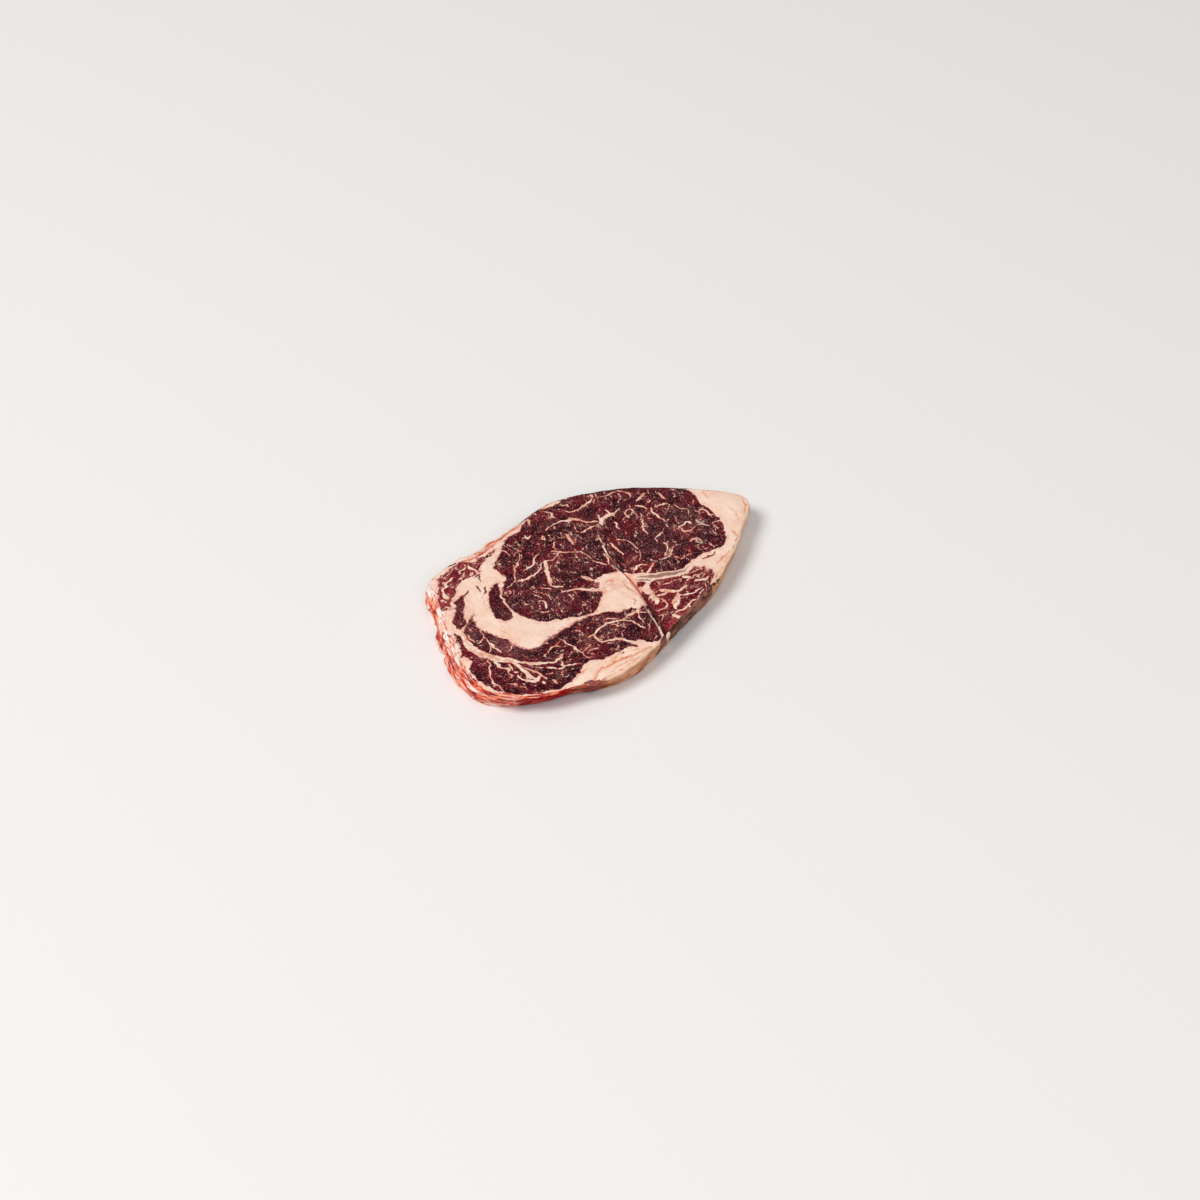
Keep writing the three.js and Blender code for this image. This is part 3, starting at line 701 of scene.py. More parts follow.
def random_flecks(lines, rng):
    """Flecks inside each muscle, mostly along its fibres."""
    flecks = []
    for name, (_, angle, _, marble, _) in MUSCLES.items():
        outline = lines[name]
        low, high = outline.min(0), outline.max(0)
        count = int(np.prod(high - low) / 100 * FLECKS_EACH_CM2 * marble)
        starts = rng.uniform(low, high, (count, 2))
        for start in starts[depth_inside(starts, outline) > FLECK_MARGIN]:
            if angle is None:
                turn = math.atan2(*(start - GRAIN_MIDDLE)[::-1]) + math.pi / 2
            else:
                turn = math.radians(angle)
            flecks += fleck(start, turn, rng)
    return flecks


def widest(places, lines, reach=3.0):
    """How far each place lies inside the nearest of some lines of varying width, in mm."""
    value = np.full(len(places), -reach)
    for line in lines:
        chosen = near(places, line, reach)
        gap, half = nearest_on_line(places[chosen], line)
        value[chosen] = np.maximum(value[chosen], half - gap)
    return value


def cut_features(places, lines, rng):
    """Everything that the cut face shows at each place, by name."""
    loose = wandering(places, rng)
    depths = np.array([depth_inside(loose, lines[name]) for name in MUSCLES])
    best = depths.argmax(0)
    grain = np.zeros((len(places), 3))
    for number, (_, angle, *_) in enumerate(MUSCLES.values()):
        chosen = best == number
        grain[chosen, :2] = grain_of(places[chosen], angle)
        grain[chosen, 2] = GRAIN_APART * number
    fresh, marble, ragged = np.array([trait[2:] for trait in MUSCLES.values()])[best].T
    gap, deep = beside_crease(places, lines["crease"])
    return {
        "lean": np.clip(depths.max(0), -FAR_OUT, FAR_IN),
        **{name: widest(loose, lines[name]) for name in ("vein", "line", "brown", "blood")},
        "fresh": fresh + patches(places, FRESH),
        "marble": marble + patches(places, STREAKY) * STREAKY_WEIGHT,
        "ragged": ragged,
        "soft": np.clip(patches(places, SOFT), 0, 1),
        "bloom_and_sheen": patches(places, BLOOM_AND_SHEEN),
        "crease": np.clip(gap, -FAR_OUT, FAR_OUT),
        "crease_deep": deep,
        "rim": np.clip(depth_inside(places, lines["edge"]), 0, FAR_IN),
        "tear": patches(places, TEARS),
        "grain": grain,
        **side_tones(places),
    }


# ---- the steak's mesh ----

def add_object(name, data):
    made = bpy.data.objects.new(name, data)
    bpy.context.scene.collection.objects.link(made)
    return made


def wide_seams(rows):
    return [smooth_line(row, SEAM_STEP) for row in rows]


def thin_seams(rows):
    """Lines from rows of a half width and then x, y, x, y ... They narrow towards their ends."""
    lines = []
    for half, *flat in rows:
        line = smooth_line(np.reshape(flat, (-1, 2)), SEAM_STEP)
        middle = np.sin(np.linspace(0, math.pi, len(line)))
        taper = SEAM_END_SHARE + (1 - SEAM_END_SHARE) * middle
        lines.append(np.column_stack([line, half * taper]))
    return lines


def traced_lines(rng):
    """Every line on the cut face by name, those of the muscles first."""
    lines = {name: smooth_line(traits[0], OUTLINE_STEP, closed=True)
             for name, traits in MUSCLES.items()}
    lines["edge"] = smooth_line(EDGE, EDGE_STEP, closed=True)
    lines["crease"] = smooth_line(CREASE, LINE_STEP)
    lines["fold"] = thin_seams(FOLDS)
    lines["line"] = thin_seams(FAT_LINES) + lines["fold"]
    lines["brown"] = wide_seams(BROWN_VEIN)
    lines["blood"] = thin_seams(DARK_LINES)
    lines["vein"] = wide_seams(WIDE_SEAMS) + thin_seams(THIN_SEAMS + random_flecks(lines, rng))
    return lines


def upper_face(place, lines, rng):
    """Places of the upper face, the rim's first, with their height and features."""
    groove = lines["crease"]
    filling = lattice(place, FACE_STEP)
    keep = nearest_on_line(filling, groove)[0] > GROOVE_STEP * 0.8
    along = smooth_line(groove[:, :2], GROOVE_STEP)
    along = along[depth_inside(along, place) > GROOVE_STEP]
    places = np.concatenate([place, filling[keep], along])
    features = cut_features(places, lines, rng)
    height = face_height(places, lines) + crease_relief(places, groove)
    for name, dent in DENTS.items():
        height = height + line_relief(places, lines[name], *dent)
    height = height - patches(places, [POCKET]) + lobe_relief(places)
    for size, amount in FACE_WAVES:
        height = height + wavy(places, size, amount, rng)
    proud = SEAM_PROUD * smoothstep(features["vein"], -0.4, 0.3)
    proud = proud + FAT_PROUD * smoothstep(-features["lean"], -0.5, 0.6)
    return np.column_stack([places, height + proud]), features


def wall_rings(rim, top, lines, rng):
    """The rings of the wall below the upper edge, with their features."""
    place, out, _, _, _ = rim
    side = cut_features(place - out * SIDE_INSET, lines, rng)
    dark = dark_share(place - out * SIDE_INSET)
    strands = strand_waves(rng)
    rings = []
    features = []
    for share in np.arange(1, WALL_RINGS + 1) / WALL_RINGS:
        rings.append(wall_place(rim, share, top, strands))
        drop = LEAN_DROP * smoothstep(share, LEAN_DROP_FROM, LEAN_DROP_TO) * dark
        features.append({**side, "lean": side["lean"] - drop})
    return rings, features


def wall_faces(count, first):
    """Triangles between the rings of the wall, whose uppermost is the upper face's edge."""
    starts = [0, *range(first, first + WALL_RINGS * count, count)]
    here = np.arange(count)
    ahead = (here + 1) % count
    faces = []
    for upper, lower in zip(starts, starts[1:]):
        faces.append(np.column_stack([upper + here, lower + here, lower + ahead]))
        faces.append(np.column_stack([upper + here, lower + ahead, upper + ahead]))
    return np.concatenate(faces)


def lower_face(foot, lines, rng):
    """Places and features of the lower face, and its triangles, numbered from its border on."""
    places = lattice(foot, UNDER_STEP)
    slant = np.column_stack([wavy(places, *UNDER_WANDER, rng) for _ in range(2)])
    lines = {**lines, "vein": thin_seams(random_flecks(lines, rng))}
    features = cut_features(places + slant, lines, rng)
    height = np.abs(wavy(places, *UNDER_WAVES, rng))
    height = height + UNDER_LEAN_DENT * smoothstep(features["lean"], -0.5, 0.8)
    return np.column_stack([places, height]), features, triangles(foot, places)[:, ::-1]


def steak_surface():
    """Vertices in plan millimetres, triangles, the part of each triangle (0 the upper face, 1 the
    wall, 2 the lower face), the marks painted on the vertices, and how far round they are."""
    rng = np.random.default_rng(SEED)
    lines = traced_lines(rng)
    rim = rim_corners(lines["edge"])
    place = rim[0]
    count = len(place)
    top, top_marks = upper_face(place, lines, rng)
    rings, ring_marks = wall_rings(rim, top[:count, 2], lines, rng)
    foot = rings[-1][:, :2]
    below, below_marks, below_faces = lower_face(foot, lines, rng)

    foot_start = len(top) + (WALL_RINGS - 1) * count
    faces = [triangles(place, top[count:, :2]), wall_faces(count, len(top)),
             below_faces + foot_start]
    part = np.repeat([0, 1, 2], [len(found) for found in faces])
    parts = [top_marks, *ring_marks, below_marks]
    marks = {name: np.concatenate([found[name] for found in parts]) for name in top_marks}
    down = np.repeat(np.arange(1, WALL_RINGS + 1) / WALL_RINGS, count)
    marks["down"] = np.concatenate([np.zeros(len(top)), down, np.zeros(len(below))])
    walked = np.concatenate([[0], np.cumsum(np.hypot(*np.diff(place, axis=0).T))])
    around = [walked, np.zeros(len(top) - count), np.tile(walked, WALL_RINGS),
              np.zeros(len(below))]
    vertices = np.concatenate([top, *rings, below])
    return vertices, np.concatenate(faces), part, marks, np.concatenate(around)


def fit_to_box(vertices, low, high):
    """Moves the drawing over the solid, in metres, and keeps it within the solid's box."""
    own_low, own_high = vertices.min(0), vertices.max(0)
    middle = (own_low + own_high) / 2
    cad_size = (np.array(high) - np.array(low)) / MM
    scale = np.minimum(1, cad_size / (own_high - own_low))
    placed = (vertices - middle) * scale * MM + (np.array(low) + np.array(high)) / 2
    placed[:, 2] = vertices[:, 2] * scale[2] * MM + low[2]
    return placed


def bake_corners(vertices, faces, part, down, around):
    """Places of the face corners in the picture that the materials are baked to: the upper face
    across its full width, the lower face smaller below it, and the side as strips beside that."""
    low, high = vertices[:, :2].min(0), vertices[:, :2].max(0)
    span = high - low
    plan = vertices[faces, :2] - low
    over = UPPER_WIDTH / span[0]
    under = LOWER_WIDTH / span[0]
    spots = plan * over + (PICTURE_EDGE, 1 - PICTURE_EDGE - span[1] * over)
    lower = plan * (-under, under) + (PICTURE_EDGE + span[0] * under, PICTURE_EDGE)
    spots[part == 2] = lower[part == 2]

    length = around.max()
    ahead = around[faces]
    wraps = ahead.max(1) - ahead.min(1) > length / 2
    ahead = np.where(wraps[:, None] & (ahead < length / 2), ahead + length, ahead)
    each = length / STRIPS
    strip = np.minimum(ahead.min(1) // each, STRIPS - 1)[:, None]
    across = STRIP_LEFT + (ahead - strip * each) * STRIP_WIDTH / (each + STRIP_OVERLAP)
    up = STRIP_FOOT + strip * STRIP_RISE + down[faces] * STRIP_HEIGHT
    spots[part == 1] = np.stack([across, up], 2)[part == 1]
    return spots


def write_mark(mesh, name, values, domain="POINT"):
    vector = values.ndim == 2
    mark = mesh.attributes.new(name, "FLOAT_VECTOR" if vector else "FLOAT", domain)
    mark.data.foreach_set("vector" if vector else "value", values.astype(np.float32).reshape(-1))


def make_steak(box):
    vertices, faces, part, marks, around = steak_surface()
    mesh = bpy.data.meshes.new("steak_meat")
    mesh.from_pydata(fit_to_box(vertices, *box).tolist(), [], faces.tolist())
    mesh.shade_smooth()

    write_mark(mesh, "side", np.repeat(part == 1, 3) * 1.0, "CORNER")
    for name, values in marks.items():
        write_mark(mesh, name, values)
    spots = bake_corners(vertices, faces, part, marks["down"], around)
    layer = mesh.uv_layers.new(name="OFBake")
    layer.data.foreach_set("uv", spots.astype(np.float32).reshape(-1))

    mesh.materials.append(meat_material())
    steak = add_object("steak_meat", mesh)
    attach(steak, "root")
    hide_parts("steak")


# ---- materials ----

def colour(red, green, blue):
    """A screen colour, 0 to 255, as the light that it stands for."""
    shares = [value / 255 for value in (red, green, blue)]
    return (*[s / 12.92 if s < 0.04045 else ((s + 0.055) / 1.055) ** 2.4 for s in shares], 1)


class Value:
    """What comes out of a node. Reckoning with it makes the nodes that do the sum."""

    def __init__(self, nodes, socket):
        self.nodes = nodes
        self.socket = socket

    def __add__(self, other):
        return self.nodes.maths("ADD", self, other)

    def __sub__(self, other):
        return self.nodes.maths("SUBTRACT", self, other)

    def __rsub__(self, other):
        return self.nodes.maths("SUBTRACT", other, self)

    def __mul__(self, other):
        return self.nodes.maths("MULTIPLY", self, other)

    def __truediv__(self, other):
        return self.nodes.maths("DIVIDE", self, other)


class Nodes:
    """One material's nodes. Each call makes nodes and hands back what comes out of them. A
    noise's scale is one number or, to stretch it, three."""

    def __init__(self, name):
        self.material = bpy.data.materials.new(name)
        self.material.use_nodes = True
        self.tree = self.material.node_tree
        self.tree.nodes.clear()

    def node(self, kind, inputs, output=0, **settings):
        made = self.tree.nodes.new(kind)
        for name, value in settings.items():
            setattr(made, name, value)
        for name, value in inputs.items():
            if isinstance(value, Value):
                self.tree.links.new(value.socket, made.inputs[name])
            else:
                made.inputs[name].default_value = value
        return Value(self, made.outputs[output]) if made.outputs else None

    def maths(self, operation, *values):
        return self.node("ShaderNodeMath", dict(enumerate(values)), operation=operation)

    def vectors(self, operation, *values):
        return self.node("ShaderNodeVectorMath", dict(enumerate(values)), operation=operation)

    def step(self, value, low, high, start=0.0, end=1.0):
        """Runs smoothly from start to end as the value runs from low to high."""
        inputs = dict(enumerate((value, low, high, start, end)))
        return self.node("ShaderNodeMapRange", inputs, interpolation_type="SMOOTHSTEP")

    def mix(self, share, first, second):
        return self.node("ShaderNodeMix", {0: share, 6: first, 7: second}, 2, data_type="RGBA")

    def tint(self, tone, *layers):
        """The tone with layers over it, each a share and the screen colour that it brings."""
        for share, *screen in layers:
            tone = self.mix(share, tone, colour(*screen))
        return tone

    def ramp(self, value, low, high, first, second):
        """Runs from one screen colour to another as the value runs from low to high."""
        return self.mix(self.step(value, low, high), colour(*first), colour(*second))

    def mark(self, name, output="Fac"):
        return self.node("ShaderNodeAttribute", {}, output, attribute_name=name)

    def axis(self, vector, number):
        return self.node("ShaderNodeSeparateXYZ", {0: vector}, number)

    def scaled(self, vector, *by):
        return self.vectors("MULTIPLY", vector, by)

    def bent(self, vector, amount, scale):
        """A vector pushed about by noise, for lines that wander."""
        inputs = {"Vector": vector, "Scale": scale, "Detail": 2.0}
        push = self.node("ShaderNodeTexNoise", inputs, "Color")
        centred = self.vectors("SUBTRACT", push, (0.5, 0.5, 0.5))
        return self.vectors("MULTIPLY_ADD", centred, (amount, amount, amount), vector)

    def fibres(self, round_about, along, across, amount=0.6, scale=1.5):
        """The coordinates of bent fibres that run round the side."""
        return self.bent(self.scaled(round_about, along, along, across), amount, scale)

    def noise(self, vector, scale=1.0, detail=2.0, rough=0.5):
        if isinstance(scale, tuple):
            vector = self.scaled(vector, *scale)
            scale = 1.0
        inputs = {"Vector": vector, "Scale": scale, "Detail": detail, "Roughness": rough}
        return self.node("ShaderNodeTexNoise", inputs)

    def swing(self, vector, scale, amount, detail=2.0):
        """Noise about zero, at most about half the amount either way."""
        return (self.noise(vector, scale, detail) - 0.5) * amount

    def net(self, vector, half, widen):
        """A net of thin branching lines, 1 on the line, which widen where widen is high."""
        inputs = {"Vector": vector, "Scale": 1.0}
        away = self.node("ShaderNodeTexVoronoi", inputs, feature="DISTANCE_TO_EDGE")
        return self.step(away / (widen * half), 1.0, 0.55)

    def creases(self, vector, half):
        """Thin winding lines, 1 on the line: where noise passes through its middle value."""
        return self.step(self.maths("ABSOLUTE", self.noise(vector) - 0.5), half, half * 0.3)

    def surface(self, inputs):
        """Ends the material with a shader."""
        shader = self.node("ShaderNodeBsdfPrincipled", inputs)
        self.node("ShaderNodeOutputMaterial", {"Surface": shader})
        return self.material


def marbling(n, grain):
    """Fine fat in the lean, broken up along the fibres: a wide net with loose wisps, and a
    tight, duller net."""
    here = n.step(n.mark("marble"), 0.0, 1.2, -0.13, 0.13)
    here = here + n.noise(grain, (0.1, 0.16, 0.6), 3.0, 0.6)
    wide = n.bent(n.scaled(grain, 0.15, 0.27, 1.0), 0.9, 1.6)
    large = n.net(wide, 0.072, n.step(n.noise(wide, 1.7), 0.5, 0.64, 0.05, 1.0))
    tight = n.bent(n.scaled(grain, 0.33, 0.6, 1.0), 0.8, 1.4)
    small = n.net(tight, 0.11, n.step(n.noise(tight, 0.9), 0.5, 0.66, 0.05, 1.0))
    wisps = n.creases(n.bent(n.scaled(grain, 0.16, 0.42, 1.0), 0.5, 2.0), 0.01)
    wisps = wisps * n.step(n.noise(grain, (0.3, 0.5, 0.8)), 0.54, 0.58)
    large = large * n.step(here, 0.46, 0.5)
    wisps = wisps * n.step(here, 0.47, 0.51)
    return n.maths("MAXIMUM", large, wisps), small * n.step(here, 0.5, 0.56)


def lean_colour(n, where, grain, depth):
    """Dark fibres, greyer where they dried and where a painted sheen lies, redder where fresh, with
    specks and dots of fat, the light specks and pale dots partly painted wet glints.
    """
    mottle = n.noise(grain, (0.2, 0.36, 1.0), 6.0, 0.72)
    patchy = n.noise(where, 0.3, 3.0)
    # The grey-brown patches are partly dried bloom and partly painted sheen of the wet face.
    bloom_and_sheen = n.mark("bloom_and_sheen") * n.step(n.noise(where, 0.22, 3.0), 0.3, 0.62)
    fresh = n.mark("fresh") * n.step(patchy, 0.25, 0.7, 0.45, 1.0)
    fresh = fresh + n.step(n.noise(where, 0.085), 0.47, 0.62, -0.12, 0.44)
    speck = n.noise(grain, (0.7, 1.3, 1.2), 3.0, 0.72)
    return n.tint(
        n.ramp(mottle, 0.42, 0.6, (33, 0, 6), (92, 28, 36)),
        (bloom_and_sheen * 0.6, 132, 86, 88),
        (fresh * 0.7, 140, 28, 42),
        (n.step(fresh, 1.1, 2.0) * 0.8, 184, 64, 68),
        (n.step(depth, 1.4, 0.15) * 0.4, 100, 26, 32),
        (n.step(speck, 0.5, 0.42) * 0.9, 18, 0, 4),
        # The light greyish-pink specks are fibre ends and partly painted wet glints.
        (n.step(speck, 0.54, 0.62) * n.step(patchy, 0.42, 0.6, 0.15, 1.0) * 0.85, 164, 108, 112),
        # The pale dots are partly flecks of fat and partly painted highlights of wet glints.
        (n.step(n.noise(where, 1.3, 1.0), 0.69, 0.75) * 0.7, 222, 178, 170),
    )


def seam_colour(n, where, grain, vein):
    """Fat in the seams, peach in some places and near white in others, the near white partly painted
    highlights of wet glints, fibrous where wide.
    """
    peach = n.step(n.noise(where, 0.13), 0.44, 0.6)
    tone = n.mix(peach, colour(246, 210, 186), colour(228, 166, 136))
    tone = n.mix(n.step(vein, 0.0, 0.2), colour(200, 116, 98), tone)
    # The near white patches are partly whiter fat and partly painted highlights of wet glints.
    white_fat_and_glint = n.step(vein, 0.1, 0.35) * n.step(n.noise(where, 0.5), 0.45, 0.6)
    strings = n.step(n.noise(grain, (0.14, 1.1, 1.0), 3.0, 0.6), 0.52, 0.62)
    return n.tint(
        tone,
        (white_fat_and_glint * (1.0 - peach * 0.6), 254, 228, 211),
        (n.step(vein, 0.35, 0.9) * strings * 0.6, 196, 116, 102),
    )


def marbled_lean(n, where, grain, depth, vein, streaks, dull):
    """Lean with its marbling, flushed red beside the seams, and the seams."""
    flush = n.step(vein, -1.4, -0.15) * n.step(n.noise(where, 0.4, 3.0), 0.42, 0.58)
    tone = n.tint(
        lean_colour(n, where, grain, depth),
        (dull * 0.55, 190, 122, 116),
        (n.step(streaks, 0.0, 0.45), 138, 44, 44),
        (n.step(streaks, 0.35, 0.85), 238, 188, 164),
        (flush * 0.65, 134, 36, 46),
    )
    return n.mix(n.step(vein, -0.05, 0.08), tone, seam_colour(n, where, grain, vein))


def fat_colour(n, where, depth):
    """Cream fat, pinker beside the lean and where marked, with pale and tan grains."""
    flush = n.noise(where, 0.35, 4.0, 0.6)
    near_lean = n.step(depth, -2.6, -0.2, 0.12, 1.0)
    grains = n.noise(where, 1.4, 3.0, 0.6)
    return n.tint(
        n.ramp(n.noise(where, 0.09, 3.0), 0.35, 0.65, (252, 221, 202), (249, 208, 183)),
        (near_lean * n.step(flush, 0.42, 0.62) * 0.6, 228, 154, 136),
        (n.mark("bloom_and_sheen") * n.step(flush, 0.36, 0.6) * 0.6, 236, 158, 138),
        (n.step(grains, 0.52, 0.72) * 0.4, 234, 184, 160),
        (n.step(grains, 0.46, 0.3) * 0.5, 255, 240, 228),
    )


def with_lines(n, where, face, in_fat, line, blood):
    """The face with its grey-brown film, its orange and tan lines, and its dark red ones."""
    brown = n.mark("brown") + n.swing(where, 0.4, 1.6, 4.0)
    film = n.ramp(brown, 0.2, 1.0, (232, 196, 176), (142, 96, 84))
    face = n.mix(n.step(brown, -0.3, 0.4) * 0.85, face, film)
    rim_line = n.step(n.mark("rim"), 1.3, 0.3) * n.step(n.noise(where, 0.25, 3.0), 0.35, 0.6)
    face = n.tint(face, (n.step(line, -0.3, 0.3) * 0.7, 222, 134, 88),
                  (rim_line * n.mark("tan_and_shade") * in_fat * 0.6, 226, 148, 98))
    dark = n.ramp(blood, 0.3, 0.9, (122, 26, 26), (146, 62, 58))
    return n.mix(n.step(blood, -0.22, 0.05) * 0.9, face, dark)


def with_crease(n, where, face, in_fat):
    """The face with the crease: a pale lip on its left, partly pale tissue and partly a painted
    highlight; painted shade on the lower bank on its right; and painted shade in the groove.
    """
    gap = n.mark("crease") + n.swing(where, 0.8, 0.3)
    depth = n.mark("crease_deep")
    wide = n.step(depth, 0.4, 1.1, 0.3, 1.0)
    reach = gap / wide
    ribs = n.noise(where, (0.9, 0.25, 1.0), 3.0, 0.6)
    # The lip is partly pale tissue and partly a painted highlight along the crease's upper edge.
    lip = n.step(reach, -3.0, -2.1) * n.step(reach, -0.1, -0.6) * n.step(ribs, 0.36, 0.5)
    face = n.tint(face, (lip * n.step(depth, 0.6, 0.85) * 0.9, 250, 218, 206))
    # The bank is painted shade beside the crease.
    bank = n.step(reach, 2.2, 1.0) * n.step(reach, 0.1, 0.5) * n.step(wide, 0.5, 1.0)
    tone = n.mix(in_fat, colour(74, 34, 30), colour(222, 130, 96))
    face = n.mix(bank * 0.5, face, tone)
    # The groove is darkened with painted shade.
    groove_shade = n.step(gap, -0.55, -0.2) * n.step(gap, 0.6, 0.2)
    tone = n.mix(in_fat, colour(70, 14, 16), colour(186, 72, 48))
    return n.mix(groove_shade * n.step(depth, 0.0, 1.1, 0.35, 1.0) * 0.9, face, tone)


def around_middle(n, where):
    """Coordinates of fibres that run round the side: the way from the middle of the steak, then
    how far up the side and in from the rim."""
    way = n.vectors("NORMALIZE", n.scaled(where, 1.0, 1.0, 0.0))
    way = n.scaled(way, 80.0, 80.0, 0.0)
    up = n.axis(where, 2) + n.mark("rim")
    return n.node("ShaderNodeCombineXYZ", {0: n.axis(way, 0), 1: n.axis(way, 1), 2: up})


def torn_colour(n, round_about):
    """Torn fibres and shreds of fat, from crimson through salmon to near white, with thin white
    strings that are painted highlights.
    """
    down = n.mark("down")
    strands = n.noise(n.fibres(round_about, 0.05, 0.95), 1.0, 5.0, 0.66)
    shreds = n.noise(n.fibres(round_about, 0.16, 0.66, 0.8, 1.3), 1.0, 5.0, 0.7)
    patch = n.noise(round_about, (0.055, 0.055, 0.2), 3.0, 0.6)
    level = strands * 0.55 + shreds * 0.5 + patch * 0.4 - 0.225
    level = level + (n.step(down, 0.4, 0.95) + 0.6) * n.mark("pale") * 0.04 - 0.016
    crimson = n.mark("crimson") + n.swing(round_about, (0.1, 0.1, 0.25), 1.6, 3.0)
    level = level - n.step(crimson, 0.2, 1.1) * n.step(down, -0.3, 0.5) * 0.2
    tone = n.ramp(crimson, 0.2, 0.9, (176, 46, 44), (144, 14, 16))
    mauve = n.step(n.noise(round_about, (0.08, 0.08, 0.3), 3.0), 0.48, 0.58)
    cracks = n.creases(n.fibres(round_about, 0.035, 0.5, 0.5, 1.2), 0.015)
    specks = n.noise(n.fibres(round_about, 0.2, 0.8, 0.6, 1.4), 1.0, 3.0)
    # The strings are painted highlights: thin white glints along the torn fibres, fainter where the
    # side is crimson.
    strings = n.creases(n.fibres(round_about, 0.03, 0.4, 0.5, 1.2), 0.009)
    return n.tint(
        tone,
        *[(n.step(level, low, high), *screen) for low, high, *screen in TORN_TONES],
        (mauve * n.step(level, 0.57, 0.5) * 0.6, 194, 86, 82),
        (cracks * 0.85, 206, 62, 40),
        (n.step(specks, 0.42, 0.37) * 0.8, 134, 30, 44),
        (strings * n.step(crimson, 0.8, 0.2, 0.2, 0.8), 255, 232, 220),
    )


def side_colour(n, where, round_about, stain):
    """The side where it isn't torn: lean or fat; tan at the front, partly painted shade on the
    undercut front, with a paler top band; and dark red by its foot, partly blood and partly painted
    shade where it meets the floor.
    """
    strands = n.noise(n.fibres(round_about, 0.09, 0.5), 1.0, 6.0, 0.68)
    down = n.mark("down") + n.swing(round_about, (0.06, 0.06, 0.2), 0.5, 3.0)
    # The tan at the front is partly painted shade: darker than the cream elsewhere, with a paler top
    # band over a darker lower part.
    tan_and_shade = n.ramp(strands, 0.38, 0.58, (178, 104, 70), (226, 172, 134))
    line = n.step(n.maths("ABSOLUTE", down - 0.29), 0.1, 0.03)
    tan_and_shade = n.tint(tan_and_shade, (n.step(down, 0.36, 0.22), 248, 210, 182), (line * 0.6, 206, 126, 84))
    cream = n.ramp(strands, 0.4, 0.56, (234, 178, 150), (250, 214, 190))
    flush = n.noise(round_about, (0.05, 0.05, 0.14), 4.0, 0.6)
    cream = n.tint(cream, (n.step(flush, 0.52, 0.68) * 0.7, 208, 108, 88))
    fat = n.mix(n.mark("tan_and_shade"), cream, tan_and_shade)
    # The dark red by the foot is partly blood and partly painted shade where the side meets the floor.
    blood = n.ramp(strands, 0.42, 0.56, (108, 32, 22), (192, 102, 74))
    bloody_shaded_foot = n.mark("bloody_shaded_foot")
    top = n.step(bloody_shaded_foot, 0.45, 1.0, 0.55, -0.5)
    fat = n.mix(n.step(down, top, top + 0.5) * bloody_shaded_foot, fat, blood)
    fat = n.tint(fat, (stain * bloody_shaded_foot * 0.85, 122, 52, 50))
    lean = n.ramp(strands, 0.42, 0.58, (48, 12, 12), (128, 66, 58))
    dry = n.ramp(strands, 0.4, 0.6, (46, 14, 12), (166, 108, 90))
    lean = n.mix(n.mark("tan_and_shade"), lean, dry)
    depth = n.mark("lean") + n.swing(where, (0.16, 0.16, 0.22), 9.0, 4.0)
    depth = depth + n.swing(round_about, (0.35, 0.35, 1.3), 2.0, 4.0) - 0.8
    return n.mix(n.step(depth, -0.4, 0.4), fat, lean)


def fine_relief(n, where, grain, round_about, vein, streaks):
    """The relief too fine for the mesh: grain, fat that stands proud and the side's strands."""
    relief = n.noise(grain, (0.7, 1.6, 1.0), 5.0, 0.65) + n.noise(where, 2.2, 3.0) * 0.4
    relief = relief + n.step(vein, -0.1, 0.4) * 0.25 + streaks * 0.3
    strands = n.noise(n.fibres(round_about, 0.045, 0.55), 1.0, 6.0, 0.68)
    relief = relief + strands * n.mark("side") * 3.0
    bump = {"Strength": 0.55, "Distance": 0.4 * MM, "Height": relief}
    return n.node("ShaderNodeBump", bump)


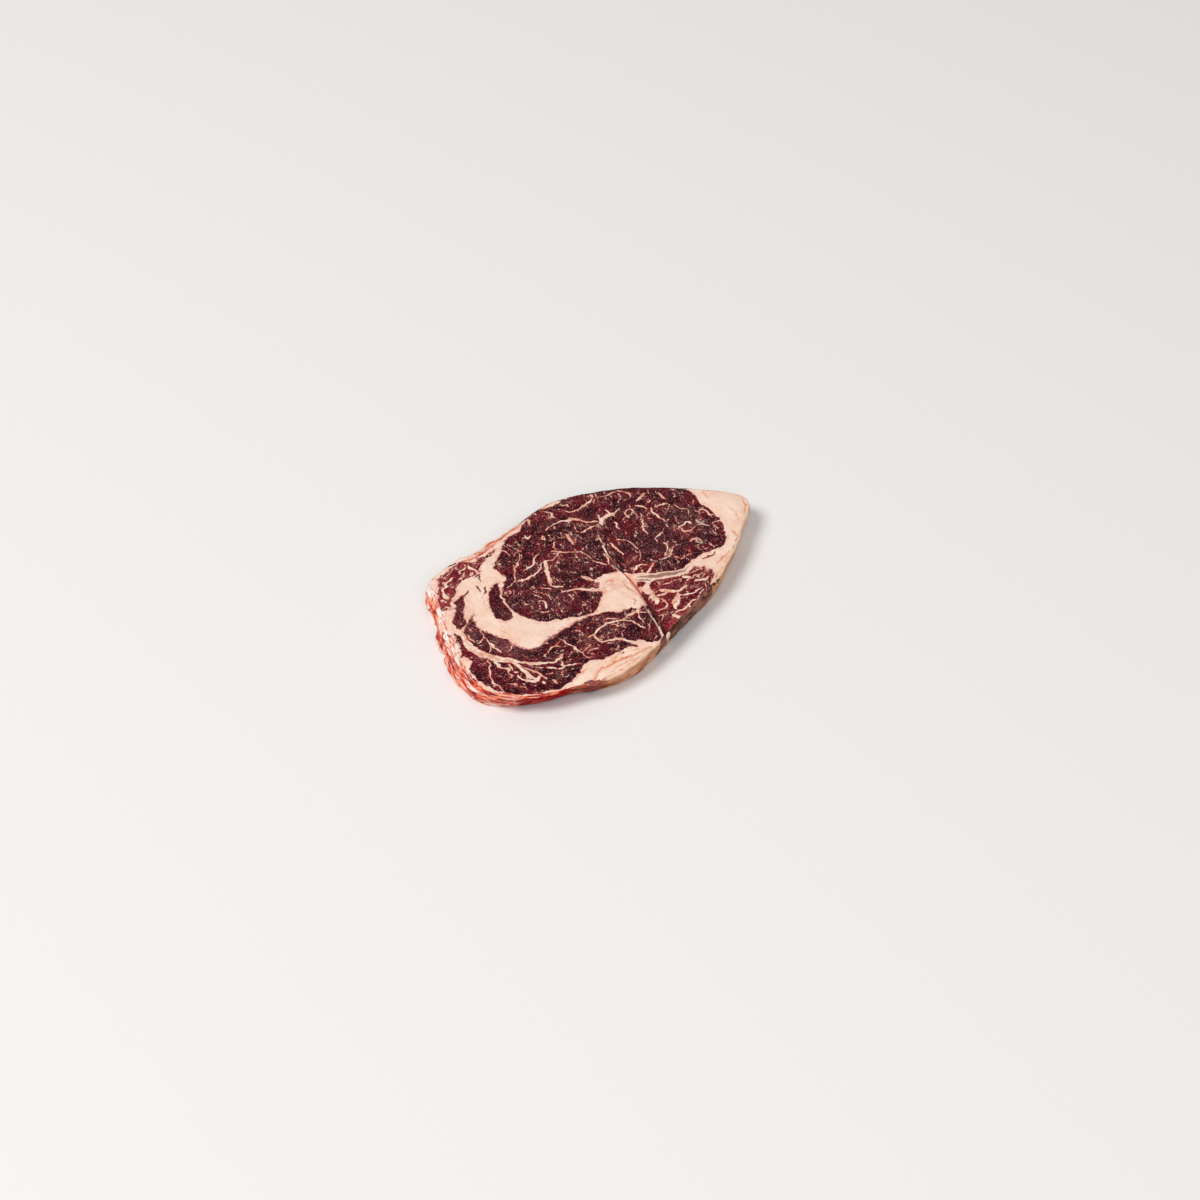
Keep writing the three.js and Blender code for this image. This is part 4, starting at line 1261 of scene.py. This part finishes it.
def meat_material():
    """Dark marbled lean, cream fat and seams, told apart by the distances kept in the mesh."""
    n = Nodes("meat")
    where = n.scaled(n.node("ShaderNodeTexCoord", {}, "Object"), 1 / MM, 1 / MM, 1 / MM)
    grain = n.mark("grain", "Vector")
    soft = n.mark("soft")
    tooth = n.swing(where, 0.55, 1.5, 4.0) + n.swing(grain, (0.45, 1.5, 1.0), 2.0, 3.0)
    depth = n.mark("lean") + tooth * (n.mark("ragged") * 0.8 + soft * 1.6 + 0.35)
    vein = n.mark("vein") + n.swing(where, 0.8, 0.6) + n.swing(where, 2.2, 0.5)
    line = n.mark("line") + n.swing(where, 0.6, 0.9, 3.0)
    blood = n.mark("blood") + n.swing(where, 0.7, 0.5, 3.0)
    in_fat = n.step(depth, 0.1, -0.3)

    streaks, dull = marbling(n, grain)
    streaks = streaks * n.step(depth, 0.2, 1.2)
    lean = marbled_lean(n, where, grain, depth, vein, streaks, dull)
    fringe = n.mix(n.step(depth, soft * -0.6, soft * 1.3 + 0.3), colour(200, 120, 112), lean)
    is_lean = n.step(depth, soft * -1.2 - 0.2, soft * 0.2 + 0.1)
    face = n.mix(is_lean, fat_colour(n, where, depth), fringe)
    face = with_lines(n, where, face, in_fat, line, blood)
    face = with_crease(n, where, face, in_fat)

    round_about = around_middle(n, where)
    torn = torn_colour(n, round_about)
    ragged_rim = n.mark("rim") - (n.swing(where, 0.22, 7.0, 4.0) + n.mark("tear"))
    face = n.mix(n.step(ragged_rim, 0.3, -0.3) * n.step(depth, 0.6, -0.1), face, torn)
    # Wide orange lines, the folds among them, are deepened in orange; in the folds this is partly
    # painted shade.
    face = n.tint(face, (n.step(line, 0.4, 0.8) * 0.85, 222, 96, 64))
    stain = n.step(blood + n.swing(where, 0.25, 3.0, 3.0), -1.4, 0.4)
    torn_side = n.mark("red") + n.swing(round_about, (0.06, 0.06, 0.25), 1.8, 4.0)
    side = side_colour(n, where, round_about, stain)
    side = n.mix(n.step(torn_side, 0.42, 0.58), side, torn)

    return n.surface({
        "Base Color": n.mix(n.mark("side"), face, side),
        "Roughness": n.step(n.noise(where, 0.6, 3.0), 0.3, 0.7, 0.36, 0.56),
        "Normal": fine_relief(n, where, grain, round_about, vein, streaks),
        "IOR": 1.4,
        "Specular IOR Level": 0.08,
    })


def floor_material():
    pale = colour(240, 238, 236)
    return Nodes("pale_floor").surface(
        {"Base Color": pale, "Roughness": 0.9, "Specular IOR Level": 0.1})


# ---- the set: camera, light and floor ----

def make_camera():
    data = bpy.data.cameras.new("camera")
    data.sensor_width = CAMERA_SENSOR
    data.lens = CAMERA_LENS
    camera = add_object("camera", data)
    camera.location = CAMERA_PLACE
    camera.rotation_euler = (math.radians(CAMERA_TILT), 0, math.radians(CAMERA_TURN))
    bpy.context.scene.camera = camera


def studio_world():
    world = bpy.data.worlds.new("studio")
    world.use_nodes = True
    background = world.node_tree.nodes["Background"].inputs
    background["Color"].default_value = (1, 1, 1, 1)
    background["Strength"].default_value = WORLD_STRENGTH
    bpy.context.scene.world = world


def make_light(name, place, size, power):
    """A round soft light that shines at the steak."""
    data = bpy.data.lights.new(name, "AREA")
    data.shape = "DISK"
    data.size = size
    data.energy = power
    light = add_object(name, data)
    light.location = place
    light.rotation_euler = (-Vector(place)).to_track_quat("-Z", "Y").to_euler()


def make_floor():
    mesh = bpy.data.meshes.new("floor")
    far = FLOOR_REACH
    mesh.from_pydata([(-far, -far, 0), (far, -far, 0), (far, far, 0), (-far, far, 0)], [],
                     [(0, 1, 2, 3)])
    mesh.materials.append(floor_material())
    floor = add_object("floor", mesh)
    floor.location.z = CAD_BOX[0].z


make_camera()
bpy.context.scene.view_settings.view_transform = "Standard"
studio_world()
for light_name, light_traits in LIGHTS.items():
    make_light(light_name, *light_traits)
make_floor()
make_steak(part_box("steak"))

bpy.context.view_layer.update()
